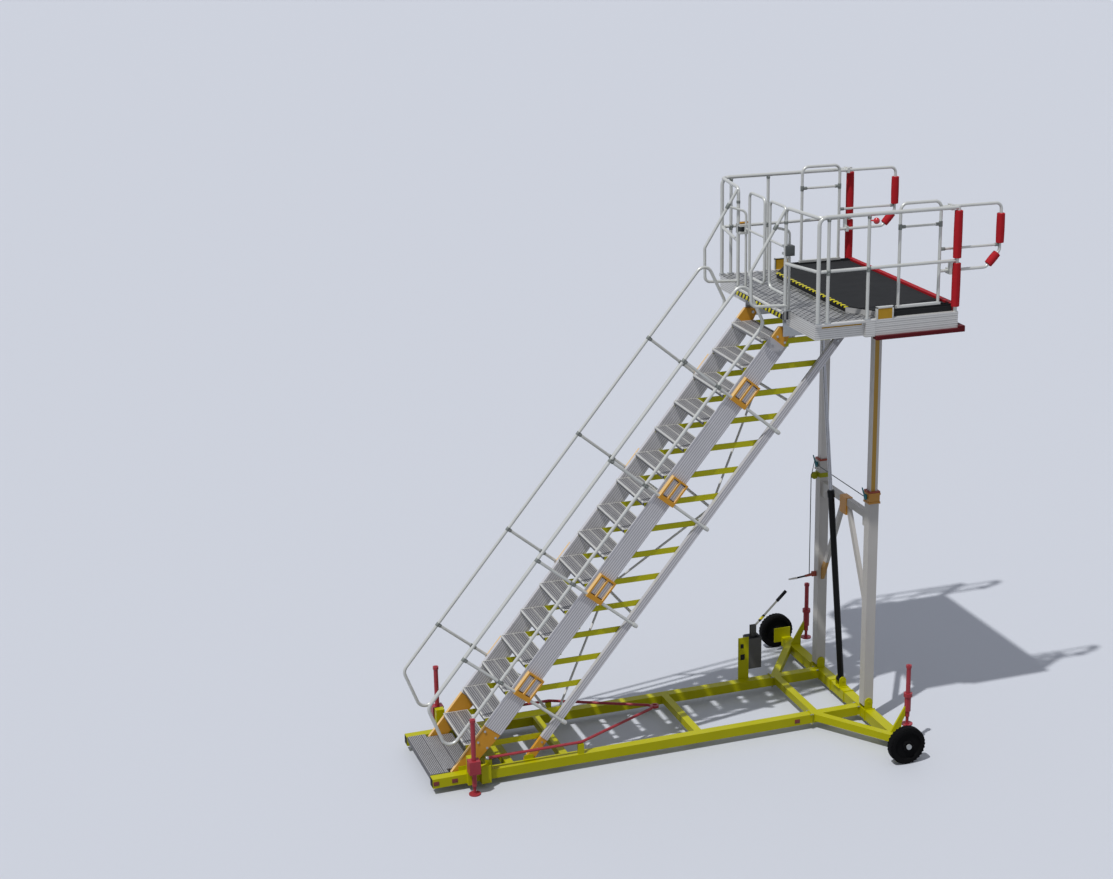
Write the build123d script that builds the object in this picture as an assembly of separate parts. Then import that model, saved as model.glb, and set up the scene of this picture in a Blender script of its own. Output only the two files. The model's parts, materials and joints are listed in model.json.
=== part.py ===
"""Mobile aircraft stairs: a towable chassis, a folding parallelogram stair and a raised work platform.

Millimetres, +Z up. The stairs climb towards +X, and left is +Y. Working coordinates start at the
chassis' front end, and save() moves every piece so that the origin is under the middle of the machine.
"""
import os
from math import cos, hypot, radians, sin

from build123d import *

# ---- wheels and chassis
running_gap = 0.05          # radial clearance of a pin or axle in its bore
seat_gap = 0.3              # clearance between faces that turn or slide against each other
wheel_diameter = 400.0
wheel_width = 105.0
stub_axle_diameter = 40.0
rail_size = 100.0           # square box section of the two long rails
rail_wall_top = 170.0       # height of the rails' upper face
rail_centre_y = 524.0
chassis_length = 4745.0     # front end to the axle beam's front face
axle_beam_size = 110.0
axle_beam_half = 1500.0
brace_size = 80.0
cross_member_size = 80.0
flange_thickness = 8.0
flange_size = 124.0
front_cross_members_x = (610.0, 830.0, 1410.0)
front_plate_half = 265.0
step_half = 400.0           # half width of the step planks between the stringers' feet

# ---- stair linkage
stair_angle = 50.35         # pitch at the raised pose
stair_pivot_x = 345.0
stair_pivot_z = 150.0
platform_pivot_z = 4400.0   # height of the linkage's upper pivots
link_spacing = 690.0        # level distance between a stringer pivot and its chord pivot
pivot_pin_diameter = 30.0
arm_centre_y = 440.0        # middle plane of stringers and chords
stringer_depth = 200.0
stringer_thickness = 50.0
chord_depth = 80.0
end_eye_radius = 45.0
end_plate_thickness = 40.0
stringer_foot_reach = 510.0  # lower pivot to where the stringer profile starts
chord_foot_reach = 270.0
head_reach = 250.0          # upper pivot to where either profile ends
tread_count = 16
tread_rise = 260.2
first_tread_z = 379.0       # centre height of the lowest tread's side bars
side_bar_height = 60.0
side_bar_thickness = 8.0
side_bar_centre_y = 404.0
tread_going = 255.0
tread_thickness = 36.0
tread_nosing_ahead = 150.0  # nosing's distance ahead of the bar's stringer pivot
tread_boss_diameter = 36.0
lattice_spacing = 1350.0
lattice_first = 480.0

# ---- stair handrails
handrail_radius = 17.0
handrail_centre_y = 495.0
handrail_offset = 755.0     # square to the pitch, from the stringer's middle line
knee_rail_offset = 282.0
stanchion_first = 971.0     # along the pitch, from the lower pivot
stanchion_spacing = 1225.0
stanchion_count = 4
stanchion_foot_offset = -600.0
clamp_length = 270.0
clamp_depth = 200.0
clamp_centre_offset = -14.0
clamp_bar = 18.0            # width of the clamp frame's bars
clamp_foot = 25.0           # frame's lower end, below the stanchion's axis
clamp_thickness = 50.0

# ---- platform
platform_front_ahead = 45.0  # front beam's distance ahead of the stair pivots
platform_rear_reach = 575.0  # rear edge, behind the posts
platform_half_width = 1235.0
landing_z = 4640.0
landing_plate = 5.0
landing_nose_ahead = 82.0
landing_nose_half = 620.0
landing_nose_height = 80.0
side_beam_height = 165.0
side_beam_thickness = 50.0
front_segment_height = 160.0
joint_block = (529.0, 632.0)    # thick part of the side beam, behind the front beam
cross_beam_height = 90.0
cross_beam_width = 60.0
upper_deck_step = 50.0
upper_deck_back = 498.0     # deck's front edge, behind the front beam
upper_deck_cut = (255.0, 345.0)
deck_skin = 10.0
guard_radius = 20.0
guard_post_radius = 17.0
guard_height = 1045.0       # landing to the top rail's centre
guard_knee_height = 515.0
guard_stanchions = (123.0, 553.0)   # behind the front beam
guard_pad_radius = 44.0
gate_post_x_ahead = 52.0
gate_post_y = 600.0
gate_hinge_y = 545.0
gate_leaf = (65.0, 455.0)   # distance of a leaf's two uprights from the middle plane
gate_leaf_z = (130.0, 1015.0)
gate_bar_height = 616.0
gate_tube_radius = 15.0
gate_stay_radius = 13.0
gate_sleeve_radius = 20.0
gate_sleeve_height = 56.0
extension_reach = 533.0     # how far the drawn-out rail stands beyond the platform
extension_hoop = (630.0, 185.0)     # uprights of the sliding rail's hoop, ahead of the rear edge
extension_inset = 93.0      # its middle plane, inside the platform's side
extension_tube_radius = 16.0
extension_pad_radius = 43.0
extension_loop_drop = 640.0
extension_foot_half = 20.0
extension_foot_height = 45.0

# ---- posts and ram
post_centre_y = 600.0
post_pivot_z = 250.0
outer_post_size = 110.0
outer_post_wall = 8.0
inner_post_size = 84.0
post_head_z = 2560.0        # middle of the outer posts' collars
collar_half_height = 60.0
post_beam_drop = 180.0      # collars' middle to the top of the beam between the posts
post_brace_foot_z = 1250.0
inner_post_overlap = 330.0
ram_foot_z = 250.0
ram_eye_ahead = 340.0       # ram's upper eye, ahead of the posts
ram_barrel_length = 2230.0
ram_barrel_radius = 35.0
ram_rod_radius = 20.0
ram_foot_half = 38.0        # half width of the barrel's foot eye
ram_eye_half = 30.0
ram_overlap = 300.0
axle_lug = 14.0             # thickness of the ears on the axle beam
deck_lug = 12.0             # thickness of the ears under the deck

# ---- screw jacks
jack_front_x = 394.0
jack_post_radius = 24.0
jack_spindle_radius = 15.0
jack_foot_radius = 60.0
jack_foot_thickness = 12.0
jack_spindle_height = 90.0
jack_front_top = 820.0
jack_rear_foot_z = 227.0
jack_rear_top = 900.0
jack_sleeve_radius = 34.0
jack_ring_radius = 46.0
jack_sleeve_z = (380.0, 585.0)       # of a rear jack, its ring at the top

# ---- tow bar and hand pump
tow_bar_half = 545.0
tow_bar_z = 295.0
tow_bar_radius = 15.0
tow_eye_x = 2590.0
pump_plate_length = 125.0
pump_tank_length = 156.0
pump_tank_width = 140.0
pump_plate_top = 660.0
pump_lever_reach = (395.0, 380.0)

pitch = radians(stair_angle)
stair_length = (platform_pivot_z - stair_pivot_z) / sin(pitch)
platform_pivot_x = stair_pivot_x + stair_length * cos(pitch)
rail_inner_y = rail_centre_y - rail_size / 2
rail_outer_y = rail_centre_y + rail_size / 2
rail_bottom_z = rail_wall_top - rail_size
beam_x = chassis_length + axle_beam_size / 2
beam_rear_x = chassis_length + axle_beam_size
beam_bottom_z = rail_wall_top - axle_beam_size
junction_x = chassis_length - 509.0         # where the outer braces leave the rails
cross_members_x = front_cross_members_x + (chassis_length - 1855.0, junction_x)
wheel_axle_x = beam_x - 60.0
wheel_centre_y = axle_beam_half + 155.0
brace_end_y = axle_beam_half - 170.0
post_x = beam_x
platform_rear_x = post_x + platform_rear_reach
post_beam_top = post_head_z - post_beam_drop
post_beam_z = post_beam_top - 80.0
ram_foot_x = beam_x - 10.0
ram_eye_x = post_x - ram_eye_ahead
jack_front_y = rail_outer_y + 130.0
jack_rear_x = beam_x + 150.0
jack_rear_y = axle_beam_half - 235.0
pump_x = chassis_length - 945.0
platform_front_x = platform_pivot_x - platform_front_ahead
platform_inner_y = platform_half_width - side_beam_thickness
upper_deck_front_x = platform_front_x + upper_deck_back
upper_deck_top = landing_z + upper_deck_step
guard_y = platform_half_width - side_beam_thickness / 2
guard_top_z = landing_z + guard_height
guard_knee_z = landing_z + guard_knee_height
guard_front_x = platform_front_x + guard_radius
guard_rear_x = platform_rear_x - 25.0
gate_post_x = platform_front_x - gate_post_x_ahead
gate_x = platform_front_x + 13.0
gate_bar_z = landing_z + gate_bar_height
extension_y = platform_half_width - extension_inset
extension_end_x = platform_rear_x + extension_reach
extension_lower_z = guard_top_z - extension_loop_drop
guide_x = (guard_rear_x - guard_pad_radius - 32.0, guard_rear_x - guard_pad_radius - 5.0)
centre_x = extension_end_x / 2


def save(name, shape):
    """Write one node, moved to the row's origin."""
    export_step(Pos(-centre_x, 0, 0) * shape, os.path.join("parts", name + ".step"))


def block(x, y, z):
    """Box from three (low, high) pairs."""
    middle = [(low + high) / 2 for low, high in (x, y, z)]
    return Pos(*middle) * Box(x[1] - x[0], y[1] - y[0], z[1] - z[0])


def rod(start, end, radius):
    """Round bar between two points."""
    start, end = Vector(*start), Vector(*end)
    section = Plane(origin=start, z_dir=(end - start).normalized()) * Circle(radius)
    return extrude(section, amount=(end - start).length)


def bar(start, end, width, depth):
    """Rectangular bar between two points: width is level, depth is square to both."""
    start, end = Vector(*start), Vector(*end)
    along = (end - start).normalized()
    level = along.cross(Vector(0, 0, 1)).normalized()
    section = Plane(origin=start, x_dir=level, z_dir=along) * Rectangle(width, depth)
    return extrude(section, amount=(end - start).length)


def bent_tube(points, radius, bend):
    """Round tube along straight runs joined by arcs."""
    path = FilletPolyline(*points, radius=bend)
    start = Vector(*points[0])
    section = Plane(origin=start, z_dir=path % 0) * Circle(radius)
    return sweep(section, path=path)


def tube_loop(corners, radius, bend):
    """Closed tube through four corners, welded halfway along two of its sides."""
    first, second, third, fourth = [Vector(*corner) for corner in corners]
    seam, far_seam = (fourth + first) / 2, (second + third) / 2
    halves = []
    for route in ((seam, first, second, far_seam), (far_seam, third, fourth, seam)):
        halves.append(bent_tube([(point.X, point.Y, point.Z) for point in route], radius, bend))
    return halves[0] + halves[1]


def cross_pin(x, z, y, radius):
    """Round pin or bore along Y from a (low, high) pair."""
    return rod((x, y[0], z), (x, y[1], z), radius)


def on_stair(along, off, y, base_x=stair_pivot_x):
    """Point given along the pitch and square to it, from a lower pivot."""
    return (
        base_x + along * cos(pitch) - off * sin(pitch),
        y,
        stair_pivot_z + along * sin(pitch) + off * cos(pitch),
    )


def joined(solids):
    """Fuse a list of solids that meet."""
    return solids[0].fuse(*solids[1:])


def mirrored(side, y):
    """A (low, high) pair across Y for the given side, +1 left and -1 right."""
    return sorted((side * y[0], side * y[1]))


def upright(x, y, z, radius):
    """Round vertical bar from a (low, high) pair of heights."""
    return rod((x, y, z[0]), (x, y, z[1]), radius)


def side_plate(outline, y):
    """Flat plate from (x, z) points, between two Y faces."""
    face = make_face(Polyline([(px, y[0], pz) for px, pz in outline], close=True))
    return extrude(face, amount=y[1] - y[0], dir=(0, 1, 0))


def ear(x, z, base_z, y, thickness, radius):
    """Upright lug with a round end at its pin, standing on base_z, or hanging from it."""
    plate = cross_pin(x, z, (y - thickness / 2, y + thickness / 2), radius)
    low, high = sorted((z, base_z))
    return plate + block((x - radius, x + radius), (y - thickness / 2, y + thickness / 2), (low, high))


# ---------------------------------------------------------------- chassis
def chassis_rails():
    """Two long rails with their flange plates."""
    rails = []
    middle_z = rail_wall_top - rail_size / 2
    half = flange_size / 2
    for side in (-1, 1):
        rail = block((0, chassis_length), mirrored(side, (rail_inner_y, rail_outer_y)),
                     (rail_bottom_z, rail_wall_top))
        for x in (junction_x - 70, chassis_length - flange_thickness):
            flange_y = mirrored(side, (rail_centre_y - half, rail_centre_y + half))
            rail += block((x, x + flange_thickness), flange_y, (middle_z - half, middle_z + half))
        rails.append(rail)
    return Compound(children=rails)


def chassis_cross_members():
    """Cross members between the rails, the front plate, the step bearer and the outer braces."""
    half = cross_member_size / 2
    low = rail_wall_top - cross_member_size
    solids = [block((x - half, x + half), (-rail_inner_y, rail_inner_y), (low, rail_wall_top))
              for x in cross_members_x]
    first, second = cross_members_x[:2]
    plate = block((first - 10, second + 10), (-front_plate_half, front_plate_half),
                  (rail_wall_top, rail_wall_top + flange_thickness))
    front = joined([solids[0], plate, solids[1]])
    bearer = block((400, 440), (-rail_inner_y, rail_inner_y), (rail_bottom_z, rail_bottom_z + 30))
    bearer += block((400, 440), (-step_half, step_half), (rail_bottom_z, rail_wall_top - 40))
    solids = [front, bearer] + solids[2:]
    brace_z = rail_wall_top - brace_size / 2
    for side in (-1, 1):
        brace = bar((junction_x, side * (rail_outer_y - 20), brace_z),
                    (chassis_length + 20, side * brace_end_y, brace_z), brace_size, brace_size)
        brace -= block((0, chassis_length), mirrored(side, (0, rail_outer_y)), (0, rail_wall_top * 2))
        brace -= block((chassis_length, chassis_length * 2), mirrored(side, (0, axle_beam_half)),
                       (0, rail_wall_top * 2))
        solids.append(brace)
    return Compound(children=solids)


def axle_beam():
    """Rear beam with the ears of posts and ram, and the gussets that carry the rear jacks."""
    pieces = [block((chassis_length, beam_rear_x), (-axle_beam_half, axle_beam_half),
                    (beam_bottom_z, rail_wall_top))]
    middle_z = rail_wall_top - axle_beam_size / 2
    half = flange_size / 2 + 2
    reach = outer_post_size / 2 + axle_lug + 6
    for side in (-1, 1):
        for y in (side * 170.0, side * (post_centre_y + 90)):
            pieces.append(block((chassis_length - 9, beam_rear_x + 9), (y - 4, y + 4),
                                (middle_z - half, middle_z + half)))
        for face in (-1, 1):        # ears either side of a post's foot
            y = side * post_centre_y + face * (outer_post_size / 2 + seat_gap + axle_lug / 2)
            pieces.append(ear(post_x, post_pivot_z, rail_wall_top, y, axle_lug, 45.0))
        pin_y = mirrored(side, (post_centre_y - reach, post_centre_y + reach))
        pieces.append(cross_pin(post_x, post_pivot_z, pin_y, pivot_pin_diameter / 2))
        pieces.append(rear_gusset(side))
    pieces.append(block((ram_foot_x - 62, ram_foot_x + 62), (-70, 70), (rail_wall_top, rail_wall_top + 8)))
    for face in (-1, 1):
        y = face * (ram_foot_half + seat_gap + axle_lug / 2)
        pieces.append(ear(ram_foot_x, ram_foot_z, rail_wall_top, y, axle_lug, 40.0))
    reach = ram_foot_half + axle_lug + 6
    pieces.append(cross_pin(ram_foot_x, ram_foot_z, (-reach, reach), pivot_pin_diameter / 2))
    return joined(pieces)


def rear_gusset(side):
    """Upright plate behind the beam that holds a rear jack's sleeve clear of the jack's foot."""
    top = jack_sleeve_z[0] + 70
    outline = [(chassis_length + 8, rail_wall_top - 5), (jack_rear_x - 25, top), (jack_rear_x, top),
               (jack_rear_x, top - 55), (jack_rear_x - 38, top - 130), (beam_rear_x + 25, top - 195),
               (beam_rear_x + 25, beam_bottom_z), (beam_rear_x - 5, beam_bottom_z)]
    y = side * jack_rear_y
    plate = side_plate(outline, (y - 12, y + 12))
    return plate - upright(jack_rear_x, y, (0, jack_rear_top), jack_sleeve_radius)


def axle_ends():
    """Plate, stub axle and hub cap at each end of the axle beam."""
    ends = []
    plate = 15.0
    outer_y = wheel_centre_y + wheel_width / 2
    inner_y = wheel_centre_y - wheel_width / 2
    axle_z = wheel_diameter / 2
    for side in (-1, 1):
        piece = block((wheel_axle_x - 85, beam_rear_x),
                      mirrored(side, (axle_beam_half, axle_beam_half + plate)), (115, 285))
        for start, end, radius in ((axle_beam_half, outer_y + 14, stub_axle_diameter / 2),
                                   (axle_beam_half, inner_y - seat_gap, 36.0),
                                   (outer_y + seat_gap, outer_y + 18, 28.0)):
            piece += cross_pin(wheel_axle_x, axle_z, mirrored(side, (start, end)), radius)
        ends.append(piece)
    return Compound(children=ends)


def wheel(side):
    half = wheel_width / 2
    outer = wheel_diameter / 2
    bore = stub_axle_diameter / 2 + running_gap
    profile = [                    # radius, offset from the wheel's middle plane
        (bore, -half), (50, -half), (60, -half + 22), (outer - 62, -half + 22), (outer - 52, -half + 4),
        (outer - 20, -half), (outer, -half + 22), (outer, half - 22), (outer - 20, half),
        (outer - 52, half - 4), (outer - 62, half - 22), (60, half - 22), (50, half), (bore, half),
    ]
    face = make_face(Polyline([(radius, across, 0) for radius, across in profile], close=True))
    return Pos(wheel_axle_x, side * wheel_centre_y, wheel_diameter / 2) * revolve(face, Axis.Y)


def jack_sleeves():
    """Red sleeves of the four screw jacks."""
    sleeves = []
    bore = jack_post_radius + running_gap
    for side in (-1, 1):
        y = side * jack_front_y
        sleeve = block((jack_front_x - 58, jack_front_x + 58), (y - 52, y + 52), (235, 375))
        sleeves.append(sleeve - upright(jack_front_x, y, (200, 400), bore))
        y = side * jack_rear_y
        sleeve = upright(jack_rear_x, y, jack_sleeve_z, jack_sleeve_radius)
        sleeve += upright(jack_rear_x, y, (jack_sleeve_z[1] - 40, jack_sleeve_z[1]), jack_ring_radius)
        sleeves.append(sleeve - upright(jack_rear_x, y, (300, 700), bore))
    return Compound(children=sleeves)


def jack_leg(x, y, foot_z, top_z):
    """Leg tube over its spindle, with the foot plate and the cap."""
    tube = upright(x, y, (foot_z + jack_spindle_height, top_z), jack_post_radius)
    spindle = upright(x, y, (foot_z, foot_z + jack_spindle_height + 10), jack_spindle_radius)
    foot = upright(x, y, (foot_z, foot_z + jack_foot_thickness), jack_foot_radius)
    return tube + spindle + foot + upright(x, y, (top_z - 30, top_z), jack_post_radius + 6)


def rail_fittings():
    """Arms of the front jacks, side boxes, and the keepers that hold the tow frame."""
    pieces = []
    arm_y = rail_outer_y + 60
    sleeve_y = jack_front_y - 52
    for side in (-1, 1):
        arm_x = (jack_front_x - 45, jack_front_x + 45)
        arm = block(arm_x, mirrored(side, (rail_outer_y, arm_y)), (rail_bottom_z, 375))
        arm += block(arm_x, mirrored(side, (rail_outer_y, sleeve_y)), (225, 375))
        pieces.append(arm)
        pieces.append(block((490, 590), mirrored(side, (rail_outer_y, arm_y)), (60, 250)))
        y = side * tow_bar_half
        for x, half in ((590.0, 30.0), (1570.0, 30.0)):
            pieces.append(block((x - half, x + half), (y - 22, y + 22),
                                (rail_wall_top, tow_bar_z - tow_bar_radius - seat_gap)))
    return Compound(children=pieces)


def front_step():
    """Three grated planks between the rails, narrowed beside the stringers' feet."""
    low, high = rail_wall_top - 40, rail_wall_top + 5
    first = block((5, 150), (-rail_inner_y, rail_inner_y), (low, high))
    second = block((153, 308), (-step_half, step_half), (low, high))
    second += block((153, 195), (-rail_inner_y, rail_inner_y), (low, high))
    third = block((311, 465), (-step_half, step_half), (low, high))
    return Compound(children=[first, second, third])


def stair_foot_pins():
    """Pivot pins of the stringers and chords, carried by plates on the rails' inner faces."""
    plates = []
    for side in (-1, 1):
        for x in (stair_pivot_x, stair_pivot_x + link_spacing):
            plate = block((x - 50, x + 50), mirrored(side, (rail_inner_y - 8, rail_inner_y)), (80, 215))
            reach = mirrored(side, (arm_centre_y - end_plate_thickness / 2 - 6, rail_inner_y))
            plates.append(plate + cross_pin(x, stair_pivot_z, reach, pivot_pin_diameter / 2))
    return Compound(children=plates)


def tow_bar():
    """Red tow frame with its eye, stowed reversed on the rails."""
    half, z = tow_bar_half, tow_bar_z
    route = [(590, -half, z), (1580, -half, z), (tow_eye_x + 30, 0, z), (1580, half, z), (590, half, z)]
    tube = bent_tube(route, tow_bar_radius, 60)
    eye = upright(tow_eye_x, 0, (z - 14, z + 14), 42)
    return (tube + eye) - upright(tow_eye_x, 0, (z - 50, z + 50), 22)


def hand_pump():
    """Hydraulic hand pump on its plate at the left rail."""
    tank_x = pump_x + pump_plate_length - 10
    tank_end = pump_x + pump_plate_length + pump_tank_length
    tank_y = rail_outer_y + 4
    lever_x = tank_x + 90
    lever_y = rail_outer_y + 73
    plate = block((pump_x, pump_x + pump_plate_length), (rail_outer_y, rail_outer_y + 8),
                  (90, pump_plate_top))
    tank = block((tank_x, tank_end), (tank_y, tank_y + pump_tank_width),
                 (270, pump_plate_top - 30))
    pieces = [plate, tank]
    for face in (-1, 1):
        y = lever_y + face * 17
        pieces.append(block((lever_x - 30, lever_x + 30), (y - 6, y + 6),
                            (pump_plate_top - 40, pump_plate_top + 100)))
    foot = (lever_x, lever_y, pump_plate_top + 70)
    tip = (lever_x + pump_lever_reach[0], lever_y, foot[2] + pump_lever_reach[1])
    grip = [low + (high - low) * 0.76 for low, high in zip(foot, tip)]
    pieces.append(rod(foot, tip, 12))
    pieces.append(rod(grip, tip, 17))
    return joined(pieces)


# ---------------------------------------------------------------- stairs
def stair_plate(outline, side, base_x):
    """Plate from (along, off) points of the pitch, in the middle plane of the arms."""
    y = side * arm_centre_y
    points = []
    for along, off in outline:
        x, _, z = on_stair(along, off, y, base_x)
        points.append((x, z))
    half = end_plate_thickness / 2
    return side_plate(points, (y - half, y + half))


def end_plates(base_x, foot_outline, head_outline):
    """Plates with pivot eyes at both ends of the left and right arms."""
    solids = []
    for side in (-1, 1):
        y = side * arm_centre_y
        half = end_plate_thickness / 2
        for outline, along in ((foot_outline, 0), (head_outline, stair_length)):
            eye_x, _, eye_z = on_stair(along, 0, y, base_x)
            plate = stair_plate(outline, side, base_x)
            plate += cross_pin(eye_x, eye_z, (y - half, y + half), end_eye_radius)
            plate -= cross_pin(eye_x, eye_z, (y - 100, y + 100), pivot_pin_diameter / 2 + running_gap)
            solids.append(plate)
    return Compound(children=solids)


def stringer_end_plates():
    reach, depth, eye = stringer_foot_reach, stringer_depth / 2, end_eye_radius
    head = stair_length - head_reach
    foot_outline = [(reach, depth), (-75, depth), (-eye, 0), (0, -eye), (reach, -depth)]
    head_outline = [(head, depth), (stair_length - 20, depth), (stair_length + eye, 0), (stair_length, -eye),
                    (head, -depth)]
    return end_plates(stair_pivot_x, foot_outline, head_outline)


def chord_end_plates():
    reach, eye = chord_foot_reach, end_eye_radius - 3
    head = stair_length - head_reach
    foot_outline = [(reach, eye), (0, eye), (0, -eye), (reach, -eye)]
    head_outline = [(head, eye), (stair_length, eye), (stair_length, -eye), (head, -eye)]
    return end_plates(stair_pivot_x + link_spacing, foot_outline, head_outline)


def arm_profiles(base_x, depth, foot_reach):
    """The pair of aluminium planks, left and right, between their end plates."""
    solids = []
    for side in (-1, 1):
        y = side * arm_centre_y
        solids.append(bar(on_stair(foot_reach, 0, y, base_x),
                          on_stair(stair_length - head_reach, 0, y, base_x), stringer_thickness, depth))
    return Compound(children=solids)


def chord_lattice():
    """Rungs and diagonals between the two chords, welded into one frame."""
    pieces = []
    inner = arm_centre_y - stringer_thickness / 2
    base = stair_pivot_x + link_spacing
    for k in range(4):
        along = lattice_first + k * lattice_spacing
        pieces.append(rod(on_stair(along, 0, -inner, base), on_stair(along, 0, inner, base), 15))
        if k < 3:
            flip = 1 if k % 2 else -1
            start = on_stair(along + 18, 0, flip * (inner - 30), base)
            end = on_stair(along + lattice_spacing - 18, 0, -flip * (inner - 30), base)
            pieces.append(rod(start, end, 12))
    return joined(pieces)


def tread(index):
    """One self-levelling step: plank, two side bars, and the bosses at their pivots."""
    z = first_tread_z + index * tread_rise
    along = (z - stair_pivot_z) / sin(pitch)
    x = stair_pivot_x + along * cos(pitch)
    half = side_bar_height / 2
    inner = side_bar_centre_y - side_bar_thickness / 2
    outer = side_bar_centre_y + side_bar_thickness / 2
    nosing_x = x - tread_nosing_ahead
    step = block((nosing_x, nosing_x + tread_going), (-inner, inner), (z + half - tread_thickness, z + half))
    for side in (-1, 1):
        step += block((nosing_x + 10, x + link_spacing + half), mirrored(side, (inner, outer)),
                      (z - half, z + half))
        for pivot_x, foot_reach in ((x, stringer_foot_reach), (x + link_spacing, chord_foot_reach)):
            on_end_plate = along < foot_reach or along > stair_length - head_reach
            arm_half = (end_plate_thickness if on_end_plate else stringer_thickness) / 2
            reach = mirrored(side, (inner, arm_centre_y - arm_half - seat_gap))
            step += cross_pin(pivot_x, z, reach, tread_boss_diameter / 2)
    return step


def stair_handrail(side):
    """Hand rail and knee rail in one closed loop, on four stanchions that reach to the chord."""
    y = side * handrail_centre_y
    corners = [                     # along the pitch, square to it
        (96, knee_rail_offset), (369, handrail_offset), (5640, handrail_offset), (5425, knee_rail_offset),
    ]
    pieces = [tube_loop([on_stair(along, off, y) for along, off in corners], handrail_radius, 90)]
    foot = stanchion_foot_offset
    for k in range(stanchion_count):
        along = stanchion_first + k * stanchion_spacing
        pieces.append(rod(on_stair(along, handrail_offset, y), on_stair(along, foot, y),
                          handrail_radius - 1))
        pieces.append(rod(on_stair(along, foot + 50, y), on_stair(along, foot + 10, y), handrail_radius + 6))
    return joined(pieces)


def rail_clamps():
    """Open clamp frames on the stringers' outer faces, bored for the stanchions."""
    frames = []
    low_off = clamp_centre_offset - clamp_depth / 2
    slot_depth = (clamp_depth - 3 * clamp_bar) / 2
    end_bar = clamp_foot + handrail_radius + 8
    for side in (-1, 1):
        middle = side * (arm_centre_y + stringer_thickness / 2 + clamp_thickness / 2)
        y = side * handrail_centre_y
        for k in range(stanchion_count):
            along = stanchion_first + k * stanchion_spacing
            start = along - clamp_foot
            end = start + clamp_length
            frame = bar(on_stair(start, clamp_centre_offset, middle),
                        on_stair(end, clamp_centre_offset, middle), clamp_thickness, clamp_depth)
            for slot in (0, 1):
                off = low_off + clamp_bar + slot_depth / 2 + slot * (slot_depth + clamp_bar)
                frame -= bar(on_stair(start + end_bar, off, middle),
                             on_stair(end - clamp_bar, off, middle), clamp_thickness * 2, slot_depth)
            frames.append(frame - rod(on_stair(along, -200, y), on_stair(along, 200, y),
                                      handrail_radius - 1 + seat_gap))
    return Compound(children=frames)


# ---------------------------------------------------------------- platform
def platform_frame():
    """Side beams and cross beams of the deck."""
    under = landing_z - landing_plate
    bottom = landing_z - side_beam_height
    half, inner = platform_half_width, platform_inner_y
    front_bottom = landing_z - front_segment_height
    block_start, block_end = [platform_front_x + distance for distance in joint_block]
    pieces = []
    for side in (-1, 1):
        outer = mirrored(side, (inner, half))
        pieces.append(block((platform_front_x, block_start), outer, (landing_z - 25, landing_z)))
        pieces.append(block((platform_front_x, block_start), mirrored(side, (inner, inner + 18)),
                            (front_bottom, landing_z)))
        pieces.append(block((block_start, block_end), mirrored(side, (inner, half + 5)),
                            (bottom - 5, landing_z)))
        beam = block((block_end, platform_rear_x), outer, (bottom, landing_z))
        for level in (40.0, 82.0, 124.0):       # grooves along the outer face
            beam -= block((block_end - 1, platform_rear_x + 1), mirrored(side, (half - 6, half + 6)),
                          (bottom + level - 7, bottom + level + 7))
        pieces.append(beam)
        pieces.append(block((platform_front_x, platform_front_x + cross_beam_width),
                            mirrored(side, (landing_nose_half - 100, inner)), (front_bottom, under)))
    half_width = cross_beam_width / 2
    for x in (platform_front_x + half_width, ram_eye_x, post_x, platform_rear_x - half_width):
        pieces.append(block((x - half_width, x + half_width), (-inner, inner),
                            (under - cross_beam_height, under)))
    return joined(pieces)


def platform_ears():
    """Ears and pins under the deck: stairs, chords, posts and ram."""
    under = landing_z - landing_plate - cross_beam_height
    lug = deck_lug
    solids = []
    plate_y = arm_centre_y + stringer_thickness / 2 + 6
    for side in (-1, 1):
        plate = block((platform_pivot_x - 60, platform_pivot_x + link_spacing + 60),
                      mirrored(side, (plate_y, plate_y + lug)), (platform_pivot_z - 50, under))
        reach = mirrored(side, (arm_centre_y - end_plate_thickness / 2 - 6, plate_y + lug))
        for x in (platform_pivot_x, platform_pivot_x + link_spacing):
            plate += cross_pin(x, platform_pivot_z, reach, pivot_pin_diameter / 2)
        solids.append(plate)
        for face in (-1, 1):
            y = side * post_centre_y + face * (inner_post_size / 2 + 5 + lug / 2)
            solids.append(ear(post_x, platform_pivot_z, under, y, lug, 45.0))
    for face in (-1, 1):
        y = face * (ram_eye_half + 5 + lug / 2)
        solids.append(ear(ram_eye_x, platform_pivot_z, under, y, lug, 40.0))
    return Compound(children=solids)


def landing_plate_sheet():
    """Landing's floor plate with the nosing at the stair head."""
    plate = block((platform_front_x, platform_rear_x), (-platform_inner_y, platform_inner_y),
                  (landing_z - landing_plate, landing_z))
    nose = block((platform_front_x - landing_nose_ahead, platform_front_x),
                 (-landing_nose_half, landing_nose_half), (landing_z - landing_nose_height, landing_z))
    return plate + nose


def upper_deck():
    """Raised anti-slip deck with its front corners cut back, open underneath."""
    inner = platform_inner_y
    front = upper_deck_front_x
    rear = platform_rear_x - 50
    back, across = upper_deck_cut
    outline = [(front, across - inner), (front, inner - across), (front + back, inner), (rear, inner),
               (rear, -inner), (front + back, -inner)]
    face = make_face(Polyline([(x, y, 0) for x, y in outline], close=True))
    pan = Pos(0, 0, landing_z) * extrude(face, amount=upper_deck_step)
    pan -= Pos(0, 0, landing_z) * extrude(offset(face, -deck_skin), amount=upper_deck_step - deck_skin)
    for side in (-1, 1):            # low channel that guides the sliding rail's foot
        for face_side in (-1, 1):
            near = side * extension_y + face_side * (extension_foot_half + seat_gap)
            y = sorted((near, near + face_side * 6))
            pan += block((front + back, rear), y, (upper_deck_top - 5, upper_deck_top + 22))
    return pan


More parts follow.
